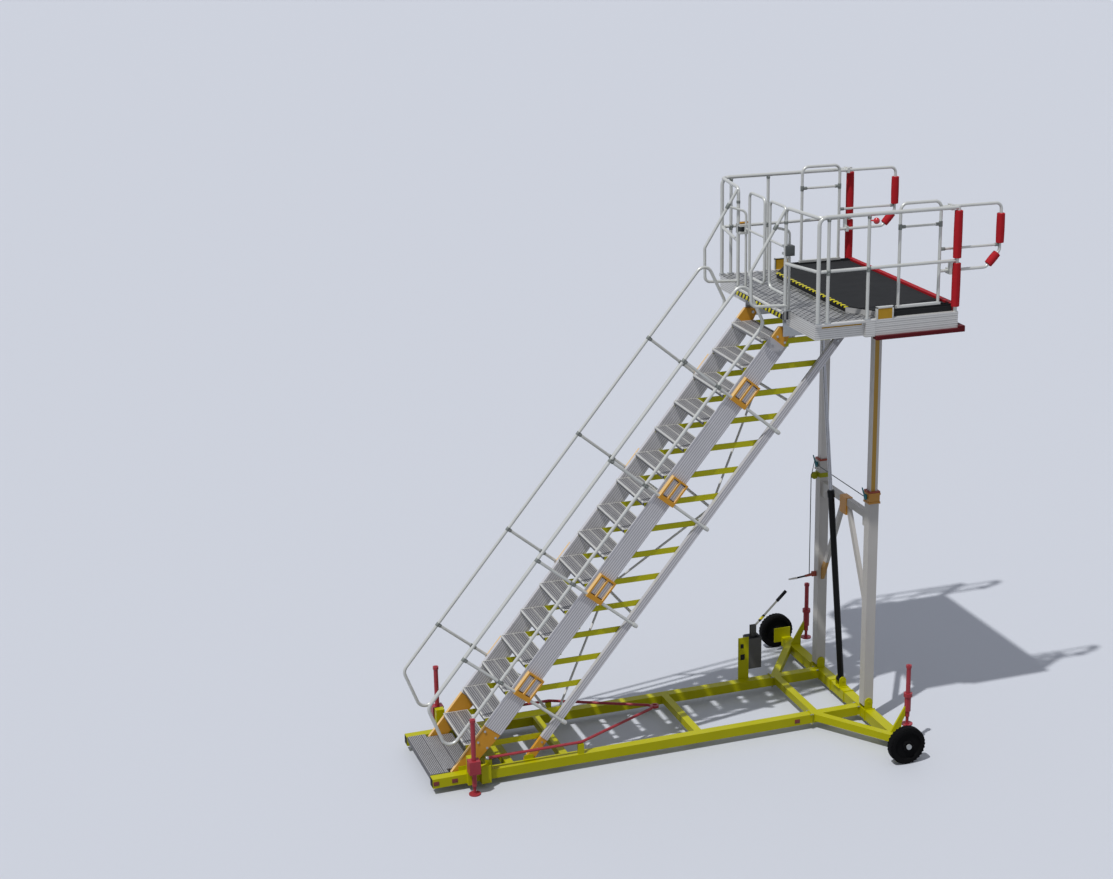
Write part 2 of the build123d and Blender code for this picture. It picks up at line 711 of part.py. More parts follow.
def guard_rail(side):
    """Side guard with its stanchions, the return and loop beside the gate, and the sliding rail's guides."""
    y = side * guard_y
    gate_y = side * gate_post_y
    front, rear = guard_front_x, guard_rear_x
    pieces = [
        bent_tube([(front, y, landing_z), (front, y, guard_top_z), (rear, y, guard_top_z)],
                  guard_radius, 80),
        upright(rear, y, (landing_z, guard_top_z + guard_radius), guard_radius),
        bent_tube([(rear, y, guard_knee_z), (front, y, guard_knee_z),
                   (gate_post_x, gate_y, guard_knee_z - 30)], guard_post_radius, 60),
    ]
    for distance in guard_stanchions:
        pieces.append(upright(platform_front_x + distance, y, (landing_z, guard_top_z), guard_post_radius))
    pieces.append(bent_tube([(front + 160, y, guard_top_z - 3), (front, y, guard_top_z - 3),
                             (gate_post_x, gate_y, guard_top_z - 3), (gate_post_x, gate_y, landing_z)],
                            guard_post_radius + 1, 60))
    loop_y = gate_y + side * 5
    loop = [(gate_post_x - 8, loop_y, guard_top_z - 17), (gate_post_x - 374, loop_y, landing_z + 440),
            (gate_post_x - 370, loop_y, landing_z + 80), (gate_post_x + 10, loop_y, landing_z + 60)]
    pieces.append(bent_tube(loop, guard_post_radius - 1, 60))
    hinge_y = side * gate_hinge_y
    stay = [(gate_post_x - 115, loop_y, guard_top_z - 190), (gate_x, hinge_y, guard_top_z - 245),
            (gate_x, hinge_y, landing_z)]
    pieces.append(bent_tube(stay, gate_stay_radius, 60))
    pieces += gate_block(side)
    pieces += extension_guides(side)
    solid = joined(pieces)
    for z in (guard_top_z, extension_lower_z):
        solid -= rod((rear - 100, side * extension_y, z), (rear, side * extension_y, z),
                     extension_tube_radius + seat_gap)
    return solid


def gate_block(side):
    """Block between the gate's post and its stay, forked round the leaf's sleeve."""
    half = gate_sleeve_height / 2 + seat_gap
    low, high = gate_bar_z - half - 22, gate_bar_z + half + 20
    reach = (gate_hinge_y - 18, gate_post_y + 15)
    x = (gate_post_x - 10, gate_x + 16)
    return [
        block(x, mirrored(side, reach), (low, gate_bar_z - half)),
        block(x, mirrored(side, reach), (gate_bar_z + half, high)),
        block(x, mirrored(side, (gate_hinge_y + 32, gate_post_y + 35)), (low, high)),
    ]


def extension_guides(side):
    """Eyes that the sliding rail runs in, on the top rail and hung from the knee rail."""
    near = extension_y - extension_tube_radius - 8
    hanger = extension_y + extension_tube_radius + 10
    return [
        block(guide_x, mirrored(side, (near, guard_y)), (guard_top_z - 28, guard_top_z + 28)),
        block(guide_x, mirrored(side, (near, guard_y)), (extension_lower_z - 28, extension_lower_z + 28)),
        block(guide_x, mirrored(side, (hanger, guard_y)), (extension_lower_z, guard_knee_z)),
    ]


def rail_brackets():
    """Brackets on the side beams that a further rail can be set in."""
    start = platform_front_x + joint_block[1] + 16
    solids = [block((start, start + 180), mirrored(side, (guard_y - 5, platform_half_width)),
                    (landing_z, landing_z + 120)) for side in (-1, 1)]
    return Compound(children=solids)


def pad_tube(start, end, inner, outer):
    """Foam tube round a rail."""
    return rod(start, end, outer) - rod(start, end, inner + seat_gap)


def guard_pads():
    """Foam on the rear posts, notched round the raised deck's corners."""
    solids = []
    top = guard_top_z - 30
    for side in (-1, 1):
        deck_corner = block((upper_deck_front_x, platform_rear_x - 50 + seat_gap),
                            mirrored(side, (0, platform_inner_y + seat_gap)),
                            (landing_z, upper_deck_top + seat_gap))
        for low, high in ((landing_z + 10, guard_knee_z - 25), (guard_knee_z + 25, top)):
            pad = pad_tube((guard_rear_x, side * guard_y, low), (guard_rear_x, side * guard_y, high),
                           guard_radius, guard_pad_radius)
            solids.append(pad - deck_corner)
    return Compound(children=solids)


def gate(side):
    """One leaf of the saloon gate: a tube frame whose middle bar ends in a sleeve round the stay."""
    near, far = [side * distance for distance in gate_leaf]
    low, high = [landing_z + height for height in gate_leaf_z]
    x, bar_z = gate_x, gate_bar_z
    hinge_y = side * gate_hinge_y
    frame = tube_loop([(x, far, low), (x, near, low), (x, near, high), (x, far, high)], gate_tube_radius, 60)
    frame += rod((x, near, bar_z), (x, hinge_y, bar_z), 12)
    sleeve = (bar_z - gate_sleeve_height / 2, bar_z + gate_sleeve_height / 2)
    frame += upright(x, hinge_y, sleeve, gate_sleeve_radius)
    return frame - upright(x, hinge_y, (sleeve[0] - 5, sleeve[1] + 5), gate_stay_radius + running_gap)


def edge_bumpers():
    """Dark red bumper that runs under the sides and round the rear, and the red strip behind the deck."""
    bottom = landing_z - side_beam_height
    outer = platform_half_width + 35
    start = platform_front_x + joint_block[1] + 6
    end = platform_rear_x + 65
    pieces = [block((platform_rear_x, end), (-outer, outer), (bottom - 38, bottom + 22))]
    for side in (-1, 1):
        pieces.append(block((start, end), mirrored(side, (platform_inner_y, outer)), (bottom - 38, bottom)))
    strip_half = guard_y - guard_pad_radius - 3
    strip = block((platform_rear_x - 50, platform_rear_x + 5), (-strip_half, strip_half),
                  (landing_z, landing_z + 75))
    return Compound(children=[joined(pieces), strip])


def extension_rail(side):
    """Sliding end rail: a standing hoop on the deck's edge that carries a loop beyond the platform."""
    y = side * extension_y
    tube = extension_tube_radius
    foot_z = upper_deck_top + seat_gap
    hoop_top = guard_top_z + 65
    front, back = [platform_rear_x - distance for distance in extension_hoop]
    end = extension_end_x - extension_pad_radius
    leg_z = foot_z + 10
    half = extension_foot_half
    pieces = [
        bent_tube([(front, y, leg_z), (front, y, hoop_top), (back, y, hoop_top), (back, y, leg_z)],
                  tube, 70),
        block((front - half, back + half), (y - half, y + half), (foot_z, foot_z + extension_foot_height)),
        rod((front, y, guard_top_z - 165), (back, y, guard_top_z - 165), 13),
        bent_tube([(back, y, guard_top_z), (end, y, guard_top_z), (end, y, guard_top_z - 480),
                   (end - 150, y, extension_lower_z), (back, y, extension_lower_z)], tube, 60),
        rod((back, y, guard_top_z - 420), (end, y, guard_top_z - 420), 13),
    ]
    return joined(pieces)


def loop_pads(side):
    """Foam on the sliding loop's end and on its slanting corner."""
    y = side * extension_y
    end = extension_end_x - extension_pad_radius
    bend_z, lower_z = guard_top_z - 480, extension_lower_z
    corner = Vector(end - 150, y, lower_z)
    slant = Vector(end, y, bend_z) - corner
    low = corner + slant * 0.17
    high = corner + slant * 0.83
    upper = pad_tube((end, y, guard_top_z - 403), (end, y, guard_top_z - 105), extension_tube_radius,
                     extension_pad_radius)
    lower = pad_tube((low.X, y, low.Z), (high.X, y, high.Z), extension_tube_radius, extension_pad_radius)
    return Compound(children=[upper, lower])


# ---------------------------------------------------------------- posts and ram
def outer_posts():
    """Two square tubes with pivot eyes, and a ribbed collar round each inner post."""
    solids = []
    half = outer_post_size / 2
    hollow = half - outer_post_wall
    mouth = inner_post_size / 2 + seat_gap
    neck, top = post_head_z - collar_half_height, post_head_z + collar_half_height
    for side in (-1, 1):
        y = side * post_centre_y
        tube = block((post_x - half, post_x + half), (y - half, y + half), (post_pivot_z - 40, post_head_z))
        for low, high, rim in ((neck, top, 6), (neck, neck + 22, 12), (top - 22, top, 12)):
            collar = half + rim
            tube += block((post_x - collar, post_x + collar), (y - collar, y + collar), (low, high))
        tube -= block((post_x - hollow, post_x + hollow), (y - hollow, y + hollow),
                      (post_pivot_z + 60, neck))
        tube -= block((post_x - mouth, post_x + mouth), (y - mouth, y + mouth), (neck - 1, top + 1))
        tube -= cross_pin(post_x, post_pivot_z, (y - 100, y + 100), pivot_pin_diameter / 2 + running_gap)
        solids.append(tube)
    return Compound(children=solids)


def post_head():
    """Cross member between the outer posts with its middle gusset and two braces."""
    inner = post_centre_y - outer_post_size / 2
    pieces = [
        block((post_x - 30, post_x + 30), (-inner, inner), (post_beam_z, post_beam_top)),
        block((post_x - 40, post_x + 40), (-75, 75), (post_beam_z - 105, post_beam_top + 5)),
    ]
    for side in (-1, 1):
        pieces.append(block((post_x - 30, post_x + 30), mirrored(side, (inner - 90, inner)),
                            (post_beam_z - 90, post_beam_top)))
        brace = bar((post_x, side * 60, post_beam_z),
                    (post_x, side * (inner + 20), post_brace_foot_z), 40, 60)
        pieces.append(brace - block((post_x - 200, post_x + 200), mirrored(side, (inner, inner + 500)),
                                    (0, post_head_z)))
    return joined(pieces)


def inner_posts():
    """Sliding posts with their foot blocks and upper eyes."""
    solids = []
    half = inner_post_size / 2
    slider = outer_post_size / 2 - outer_post_wall - seat_gap
    foot_z = post_head_z - inner_post_overlap
    for side in (-1, 1):
        y = side * post_centre_y
        tube = block((post_x - half, post_x + half), (y - half, y + half), (foot_z, platform_pivot_z))
        tube += cross_pin(post_x, platform_pivot_z, (y - half, y + half), half)
        tube += block((post_x - slider, post_x + slider), (y - slider, y + slider), (foot_z, foot_z + 60))
        solids.append(tube)
    return Compound(children=solids)


def ram_axis(distance):
    """Point on the ram's middle line, measured up from its foot pin."""
    rise = platform_pivot_z - ram_foot_z
    run = ram_eye_x - ram_foot_x
    length = hypot(rise, run)
    return (ram_foot_x + run * distance / length, 0, ram_foot_z + rise * distance / length)


def ram_barrel():
    foot = cross_pin(ram_foot_x, ram_foot_z, (-ram_foot_half, ram_foot_half), 42)
    barrel = rod(ram_axis(10), ram_axis(ram_barrel_length), ram_barrel_radius)
    bore = rod(ram_axis(90), ram_axis(ram_barrel_length + 1), ram_rod_radius + 0.1)
    pin = cross_pin(ram_foot_x, ram_foot_z, (-100, 100), pivot_pin_diameter / 2 + running_gap)
    return foot + barrel - bore - pin


def ram_rod():
    length = hypot(platform_pivot_z - ram_foot_z, ram_eye_x - ram_foot_x)
    shaft = rod(ram_axis(ram_barrel_length - ram_overlap), ram_axis(length), ram_rod_radius)
    return shaft + cross_pin(ram_eye_x, platform_pivot_z, (-ram_eye_half, ram_eye_half), 34)


def build():
    os.makedirs("parts", exist_ok=True)
    save("chassis_rails", chassis_rails())
    save("chassis_cross_members", chassis_cross_members())
    save("axle_beam", axle_beam())
    save("axle_ends", axle_ends())
    save("jack_sleeves", jack_sleeves())
    save("rail_fittings", rail_fittings())
    save("front_step", front_step())
    save("stair_foot_pins", stair_foot_pins())
    save("tow_bar", tow_bar())
    save("hand_pump", hand_pump())
    for name, side in (("right", -1), ("left", 1)):
        save("wheel_" + name, wheel(side))
        save("jack_leg_front_" + name, jack_leg(jack_front_x, side * jack_front_y, 0, jack_front_top))
        save("jack_leg_rear_" + name,
             jack_leg(jack_rear_x, side * jack_rear_y, jack_rear_foot_z, jack_rear_top))
        save("stair_handrail_" + name, stair_handrail(side))
        save("guard_rail_" + name, guard_rail(side))
        save("gate_" + name, gate(side))
        save("extension_rail_" + name, extension_rail(side))
        save("loop_pads_" + name, loop_pads(side))
    save("stringers", arm_profiles(stair_pivot_x, stringer_depth, stringer_foot_reach))
    save("stringer_end_plates", stringer_end_plates())
    save("rail_clamps", rail_clamps())
    save("chords", arm_profiles(stair_pivot_x + link_spacing, chord_depth, chord_foot_reach))
    save("chord_end_plates", chord_end_plates())
    save("chord_lattice", chord_lattice())
    for index in range(tread_count):
        save("tread_%02d" % (index + 1), tread(index))
    save("platform_frame", platform_frame())
    save("platform_ears", platform_ears())
    save("landing_plate", landing_plate_sheet())
    save("upper_deck", upper_deck())
    save("edge_bumpers", edge_bumpers())
    save("rail_brackets", rail_brackets())
    save("guard_pads", guard_pads())
    save("outer_posts", outer_posts())
    save("post_head", post_head())
    save("inner_posts", inner_posts())
    save("ram_barrel", ram_barrel())
    save("ram_rod", ram_rod())


build()
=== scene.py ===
import bpy
import bmesh
import json
import math
from mathutils import Matrix, Vector


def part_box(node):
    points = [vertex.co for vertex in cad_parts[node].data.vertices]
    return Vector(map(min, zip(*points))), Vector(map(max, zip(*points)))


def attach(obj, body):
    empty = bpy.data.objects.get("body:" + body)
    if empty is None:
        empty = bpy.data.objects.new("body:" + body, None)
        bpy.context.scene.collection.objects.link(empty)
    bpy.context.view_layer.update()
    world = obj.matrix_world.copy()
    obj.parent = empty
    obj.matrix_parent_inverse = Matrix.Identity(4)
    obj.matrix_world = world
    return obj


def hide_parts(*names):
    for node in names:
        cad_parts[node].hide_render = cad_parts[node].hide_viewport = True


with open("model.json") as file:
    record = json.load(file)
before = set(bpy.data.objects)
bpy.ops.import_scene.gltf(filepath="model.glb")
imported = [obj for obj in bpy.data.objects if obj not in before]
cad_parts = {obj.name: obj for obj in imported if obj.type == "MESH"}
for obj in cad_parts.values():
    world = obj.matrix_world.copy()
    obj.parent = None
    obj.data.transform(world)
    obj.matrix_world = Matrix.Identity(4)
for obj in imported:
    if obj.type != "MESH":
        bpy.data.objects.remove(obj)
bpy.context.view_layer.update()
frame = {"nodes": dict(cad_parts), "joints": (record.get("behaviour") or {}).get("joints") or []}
nodes = frame["nodes"]
joints = {joint["name"]: joint for joint in frame["joints"]}
stairFoot = Vector(joints["stair_lower"]["pos_m"])
stairHead = Vector(joints["platform_level"]["pos_m"])
stairLength = (stairHead - stairFoot).length
climb = (stairHead - stairFoot).normalized()  # the way up the pitch
square = Vector((-climb.z, 0.0, climb.x))  # square to the pitch, upwards
acrossY = Vector((0.0, 1.0, 0.0))
sides = {"Left": 1, "Right": -1}
finishes = {}
print("frame loaded with", len(nodes), "nodes")


# helpers for materials
def linearColour(hexColour):
    values = []
    for start in (1, 3, 5):
        part = int(hexColour[start:start + 2], 16) / 255
        values.append(part / 12.92 if part <= 0.04045 else ((part + 0.055) / 1.055) ** 2.4)
    return (*values, 1.0)


def addNode(tree, kind, settings=None, links=None):
    node = tree.nodes.new(kind)
    for key, value in (settings or {}).items():
        if isinstance(key, int) or key in node.inputs:
            node.inputs[key].default_value = value
        else:
            setattr(node, key, value)
    for key, source in (links or {}).items():
        tree.links.new(source, node.inputs[key])
    return node


# what all finishes share: detail of their noises, depth of the grain, spread of the roughness, and so on
shared = {"driftDetail": 3.0, "grainDetail": 2.0, "grainDepth": 0.25, "smoother": 0.05, "rougher": 0.07,
          "specular": 0.4, "coatRoughness": 0.12, "grooveStrength": 0.6}


def newFinish(name, look):
    # colour drifts to shade over patches of driftMm, and grainMm is the size of the fine relief
    material = bpy.data.materials.new(name)
    material.use_nodes = True
    tree = material.node_tree
    tree.nodes.clear()
    coords = addNode(tree, "ShaderNodeTexCoord")
    drift = addNode(tree, "ShaderNodeTexNoise", {"Scale": 1000 / look["driftMm"],
                                                 "Detail": shared["driftDetail"]},
                    {"Vector": coords.outputs["Object"]})
    tint = addNode(tree, "ShaderNodeMix", {"data_type": "RGBA", 6: linearColour(look["colour"]),
                                           7: linearColour(look["shade"])}, {0: drift.outputs[0]})
    grain = addNode(tree, "ShaderNodeTexNoise", {"Scale": 1000 / look["grainMm"],
                                                 "Detail": shared["grainDetail"]},
                    {"Vector": coords.outputs["Object"]})
    relief = addNode(tree, "ShaderNodeBump", {"Strength": look["relief"],
                                              "Distance": look["grainMm"] / 1000 * shared["grainDepth"]},
                     {"Height": grain.outputs[0]})
    rough = addNode(tree, "ShaderNodeMapRange", {"To Min": look["roughness"] - shared["smoother"],
                                                 "To Max": look["roughness"] + shared["rougher"]},
                    {"Value": drift.outputs[0]})
    sources = {"Base Color": tint.outputs[2], "Roughness": rough.outputs[0], "Normal": relief.outputs[0]}
    shader = addNode(tree, "ShaderNodeBsdfPrincipled", {"Metallic": look.get("metallic", 0.0)}, sources)
    shader.inputs["Specular IOR Level"].default_value = look.get("specular", shared["specular"])
    if "coat" in look:
        shader.inputs["Coat Weight"].default_value = look["coat"]
        shader.inputs["Coat Roughness"].default_value = shared["coatRoughness"]
    addNode(tree, "ShaderNodeOutputMaterial", {}, {"Surface": shader.outputs[0]})
    split = addNode(tree, "ShaderNodeSeparateXYZ", {}, {0: coords.outputs["Object"]})
    finish = {"material": material, "tree": tree, "coords": coords, "split": split, "shader": shader,
              "colour": tint.outputs[2], "relief": relief.outputs[0]}
    finishes[name] = finish
    return finish


def zone(finish, source, low=None, high=None):
    # 1 where a value lies between the limits that are given, else 0
    masks = []
    for operation, limit in (("GREATER_THAN", low), ("LESS_THAN", high)):
        if limit is not None:
            test = addNode(finish["tree"], "ShaderNodeMath", {"operation": operation, 1: limit}, {0: source})
            masks.append(test.outputs[0])
    return masks[0] if len(masks) == 1 else combine(finish, *masks)


def combine(finish, first, second, operation="MULTIPLY"):
    # a product keeps what both masks share, and MAXIMUM what either has
    joined = addNode(finish["tree"], "ShaderNodeMath", {"operation": operation}, {0: first, 1: second})
    return joined.outputs[0]


def along(finish, direction, source="Object"):
    dot = addNode(finish["tree"], "ShaderNodeVectorMath",
                  {"operation": "DOT_PRODUCT", 1: tuple(direction)}, {0: finish["coords"].outputs[source]})
    return dot.outputs["Value"]


def stripes(finish, direction, periodMm, share):
    # 1 over the given share of each period along a direction, else 0
    count = addNode(finish["tree"], "ShaderNodeMath", {"operation": "MULTIPLY", 1: 1000 / periodMm},
                    {0: along(finish, direction)})
    part = addNode(finish["tree"], "ShaderNodeMath", {"operation": "FRACT"}, {0: count.outputs[0]})
    return zone(finish, part.outputs[0], high=share)


def unsigned(finish, source):
    size = addNode(finish["tree"], "ShaderNodeMath", {"operation": "ABSOLUTE"}, {0: source})
    return size.outputs[0]


def coord(finish, axis):
    return finish["split"].outputs[axis]


def fromMiddle(finish):
    return unsigned(finish, coord(finish, "Y"))


def repaint(finish, mask, hexColour, depthMm=0):
    # colours the masked part, and sinks it by a bump where a depth is given
    mix = addNode(finish["tree"], "ShaderNodeMix", {"data_type": "RGBA", 7: linearColour(hexColour)},
                  {0: mask, 6: finish["colour"]})
    finish["colour"] = mix.outputs[2]
    finish["tree"].links.new(mix.outputs[2], finish["shader"].inputs["Base Color"])
    if depthMm:
        bump = addNode(finish["tree"], "ShaderNodeBump",
                       {"invert": True, "Strength": shared["grooveStrength"], "Distance": depthMm / 1000},
                       {"Height": mask, "Normal": finish["relief"]})
        finish["relief"] = bump.outputs[0]
        finish["tree"].links.new(bump.outputs[0], finish["shader"].inputs["Normal"])


# materials, named for what the real ones are
paints = {
    # powder-coated steel: even, slightly waxy shine with a fine peel
    "yellowPowderCoat": {"colour": "#bfbb00", "shade": "#afab00", "driftMm": 400, "grainMm": 6,
                         "relief": 0.12, "roughness": 0.42, "specular": 0.22},
    "orangePowderCoat": {"colour": "#dfa23a", "shade": "#d0932e", "driftMm": 120, "grainMm": 6,
                         "relief": 0.12, "roughness": 0.42, "specular": 0.25},
    "crimsonPowderCoat": {"colour": "#ac3b44", "shade": "#98303a", "driftMm": 90, "grainMm": 6,
                          "relief": 0.12, "roughness": 0.4, "specular": 0.3, "coat": 0.1},
    "palePowderCoat": {"colour": "#c9c5bf", "shade": "#b9b5af", "driftMm": 500, "grainMm": 6, "relief": 0.1,
                       "roughness": 0.42},
    "blackGlossPaint": {"colour": "#08080a", "shade": "#0d0d0f", "driftMm": 200, "grainMm": 6, "relief": 0.1,
                        "roughness": 0.32, "specular": 0.15},
    "tankPaint": {"colour": "#545353", "shade": "#474747", "driftMm": 90, "grainMm": 5, "relief": 0.2,
                  "roughness": 0.5, "specular": 0.25},
    # anodised and mill-finished aluminium: soft grey, half-dull highlights
    "anodisedTube": {"colour": "#d6d7d2", "shade": "#c8c9c4", "driftMm": 160, "grainMm": 8, "relief": 0.08,
                     "roughness": 0.34, "metallic": 0.3},
    # lattice tubes: paler than the other tubes, painted light against the shade they sit in under the stairs
    "latticeTube": {"colour": "#dddcda", "shade": "#cfcecc", "driftMm": 160, "grainMm": 8, "relief": 0.08,
                    "roughness": 0.45},
    "flutedProfile": {"colour": "#dad8da", "shade": "#cbc9cb", "driftMm": 220, "grainMm": 8, "relief": 0.1,
                      "roughness": 0.42, "metallic": 0.3},
    "deckProfile": {"colour": "#dfdedb", "shade": "#cfcecb", "driftMm": 220, "grainMm": 8, "relief": 0.1,
                    "roughness": 0.4, "metallic": 0.3},
    "chequerPlate": {"colour": "#a9a9a7", "shade": "#959593", "driftMm": 110, "grainMm": 8, "relief": 0.15,
                     "roughness": 0.42, "metallic": 0.4},
    "stepPlank": {"colour": "#8c8b8e", "shade": "#777679", "driftMm": 50, "grainMm": 9, "relief": 0.4,
                  "roughness": 0.5, "metallic": 0.3},
    "stepRib": {"colour": "#cbcac9", "shade": "#b3b2b1", "driftMm": 60, "grainMm": 7, "relief": 0.2,
                "roughness": 0.42, "metallic": 0.3},
    "noseBar": {"colour": "#e4e3dd", "shade": "#d6d5cf", "driftMm": 90, "grainMm": 7, "relief": 0.1,
                "roughness": 0.38, "metallic": 0.2},
    # plated steel fittings and hard chrome: mirror-like on small parts
    "zincPlate": {"colour": "#b9bcbd", "shade": "#a4a7a8", "driftMm": 40, "grainMm": 5, "relief": 0.15,
                  "roughness": 0.36, "metallic": 0.8},
    "clampIron": {"colour": "#8b8f8a", "shade": "#777b76", "driftMm": 40, "grainMm": 5, "relief": 0.3,
                  "roughness": 0.48, "metallic": 0.5},
    "blockIron": {"colour": "#5d605f", "shade": "#4c4f4e", "driftMm": 40, "grainMm": 5, "relief": 0.3,
                  "roughness": 0.5, "metallic": 0.4},
    "chromedRod": {"colour": "#a3a4a8", "shade": "#97989c", "driftMm": 90, "grainMm": 10, "relief": 0.02,
                   "roughness": 0.2, "metallic": 0.9},
    # rubber and foam: no shine
    "tyreRubber": {"colour": "#060607", "shade": "#0c0c0d", "driftMm": 50, "grainMm": 4, "relief": 0.4,
                   "roughness": 0.8, "specular": 0.1},
    "rubberMat": {"colour": "#262728", "shade": "#202122", "driftMm": 120, "grainMm": 9, "relief": 0.7,
                  "roughness": 0.85, "specular": 0.2},
    # red rubber painted dark: painted shade for the part that lies under the side beam
    "darkRedRubber": {"colour": "#5f0b14", "shade": "#4e0810", "driftMm": 150, "grainMm": 6, "relief": 0.2,
                      "roughness": 0.6, "specular": 0.2},
    "redFoam": {"colour": "#bd2129", "shade": "#a81b23", "driftMm": 60, "grainMm": 5, "relief": 0.5,
                "roughness": 0.72, "specular": 0.2},
    "gripRubber": {"colour": "#121315", "shade": "#1c1d20", "driftMm": 20, "grainMm": 4, "relief": 0.5,
                   "roughness": 0.7, "specular": 0.2},
    # tape, trim and small coloured fittings
    "hazardTape": {"colour": "#e9dc1c", "shade": "#ddd018", "driftMm": 80, "grainMm": 5, "relief": 0.1,
                   "roughness": 0.5, "specular": 0.25},
    "blackTrim": {"colour": "#151517", "shade": "#1d1d1f", "driftMm": 80, "grainMm": 5, "relief": 0.2,
                  "roughness": 0.6, "specular": 0.2},
    "ochrePaint": {"colour": "#c79a2c", "shade": "#b4881f", "driftMm": 60, "grainMm": 5, "relief": 0.15,
                   "roughness": 0.5, "specular": 0.25},
    "limePaint": {"colour": "#a7a81c", "shade": "#939416", "driftMm": 60, "grainMm": 5, "relief": 0.15,
                  "roughness": 0.5, "specular": 0.25},
    "tealPaint": {"colour": "#2f7f86", "shade": "#28707a", "driftMm": 30, "grainMm": 5, "relief": 0.1,
                  "roughness": 0.45},
    "brickRedPaint": {"colour": "#a8503c", "shade": "#964432", "driftMm": 30, "grainMm": 5, "relief": 0.1,
                      "roughness": 0.5},
    "redKnob": {"colour": "#d01f2b", "shade": "#c01824", "driftMm": 30, "grainMm": 5, "relief": 0.05,
                "roughness": 0.28, "coat": 0.5},
    "whitePaint": {"colour": "#e8e6e0", "shade": "#dddbd5", "driftMm": 30, "grainMm": 5, "relief": 0.05,
                   "roughness": 0.35},
    "redReflector": {"colour": "#7a2215", "shade": "#691b10", "driftMm": 20, "grainMm": 4, "relief": 0.3,
                     "roughness": 0.3, "coat": 0.4},
}
for name, look in paints.items():
    newFinish(name, look)
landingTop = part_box("landing_plate")[1].z

# stringers and chords: flutes run up the pitch, on the upright faces alone
flutes = finishes["flutedProfile"]
fluteLook = {"spacingMm": 25, "share": 0.3, "colour": "#a3a1a4", "depthMm": 2, "upright": 0.5}
uprightFaces = zone(flutes, along(flutes, square, "Normal"), -fluteLook["upright"], fluteLook["upright"])
fluteMask = stripes(flutes, square, fluteLook["spacingMm"], fluteLook["share"])
repaint(flutes, combine(flutes, fluteMask, uprightFaces), fluteLook["colour"], fluteLook["depthMm"])

# planks: oblong slots pressed in rows between the ribs, drawn coarser than life so that they show
slotLook = {"acrossMm": 18, "alongMm": 24, "shares": (0.45, 0.6), "depthMm": 3,
            "frontStep": "#434245", "treads": "#3f3e41"}


def pressSlots(finish, hexColour):
    rows = stripes(finish, (1, 0, 0), slotLook["acrossMm"], slotLook["shares"][0])
    slots = combine(finish, rows, stripes(finish, (0, 1, 0), slotLook["alongMm"], slotLook["shares"][1]))
    repaint(finish, slots, hexColour, slotLook["depthMm"])


pressSlots(finishes["stepPlank"], slotLook["frontStep"])

# ribs: notched along their length
notchLook = {"spacingMm": 26, "share": 0.32, "colour": "#79787a"}
ribFinish = finishes["stepRib"]
notches = stripes(ribFinish, (0, 1, 0), notchLook["spacingMm"], notchLook["share"])
repaint(ribFinish, notches, notchLook["colour"])

# landing: raised bars that cross at right angles, drawn coarser than life so that they show
chequer = finishes["chequerPlate"]
chequerLook = {"spacingMm": 60, "width": 0.28, "length": 0.7, "colour": "#3a3a3d", "depthMm": 2}
slants = ((0.7071, 0.7071, 0), (0.7071, -0.7071, 0))
barSets = []
for acrossBar, alongBar in (slants, slants[::-1]):
    widths = stripes(chequer, acrossBar, chequerLook["spacingMm"], chequerLook["width"])
    lengths = stripes(chequer, alongBar, chequerLook["spacingMm"], chequerLook["length"])
    barSets.append(combine(chequer, widths, lengths))
repaint(chequer, combine(chequer, *barSets, "MAXIMUM"), chequerLook["colour"], chequerLook["depthMm"])

# deck beams: extruded, with fine lines along their length
lineLook = {"spacingMm": 21, "share": 0.25, "colour": "#aeadaa"}
deckLines = finishes["deckProfile"]
fineLines = stripes(deckLines, (0, 0, 1), lineLook["spacingMm"], lineLook["share"])
repaint(deckLines, fineLines, lineLook["colour"])

# hazard strips: slanting black bars on yellow
hazardLook = {"slant": (0.5, 0.75, 0.5), "spacingMm": 62, "share": 0.5, "colour": "#18181a"}
hazard = finishes["hazardTape"]
hazardBars = stripes(hazard, hazardLook["slant"], hazardLook["spacingMm"], hazardLook["share"])
repaint(hazard, hazardBars, hazardLook["colour"])

# clamps and end plates: painted highlight, the faces that look up from the pitch are paler as if lit from
# above
topHighlightLook = {"facing": 0.8, "colour": "#ebc27f"}


def paintTopHighlight(finish):
    facing = zone(finish, along(finish, square, "Normal"), low=topHighlightLook["facing"])
    repaint(finish, facing, topHighlightLook["colour"])


paintTopHighlight(finishes["orangePowderCoat"])

# end plates under the profiles: orange at foot and head, and the profiles' grey on the way between
footAlong = stairFoot.dot(climb)
armLook = {"from": 1.0, "toHead": 0.15, "colour": "#c2c0c3"}
armEnds = newFinish("armEndPlate", paints["orangePowderCoat"])
# painted highlight on the end plates' upper faces, as on the clamps
paintTopHighlight(armEnds)
profileZone = zone(armEnds, along(armEnds, climb), footAlong + armLook["from"],
                   footAlong + stairLength - armLook["toHead"])
repaint(armEnds, profileZone, armLook["colour"])

chordEndLook = {"from": 2.0, "colour": "#b9b7b9"}  # bare metal at the head
chordEnds = newFinish("chordEndPlate", paints["orangePowderCoat"])
bareHead = zone(chordEnds, along(chordEnds, climb), low=footAlong + chordEndLook["from"])
repaint(chordEnds, bareHead, chordEndLook["colour"])

# treads: plank between two enamelled side bars, with the same enamel behind the planks
treadLook = {"plankHalf": 0.4001, "plankRear": 0.258, "enamel": "#b9b500"}
treadFinish = newFinish("stepWithBars", paints["stepPlank"])
pressSlots(treadFinish, slotLook["treads"])
behind = Vector((1.0, 0.0, -climb.x / climb.z))  # grows towards the rear of every step alike
firstLow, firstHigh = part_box("tread_01")
plankEnd = Vector((firstLow.x + treadLook["plankRear"], 0.0, firstHigh.z)).dot(behind)
sideBars = zone(treadFinish, fromMiddle(treadFinish), low=treadLook["plankHalf"])
behindPlank = zone(treadFinish, along(treadFinish, behind), low=plankEnd)
enamelled = combine(treadFinish, sideBars, behindPlank, "MAXIMUM")
repaint(treadFinish, enamelled, treadLook["enamel"])

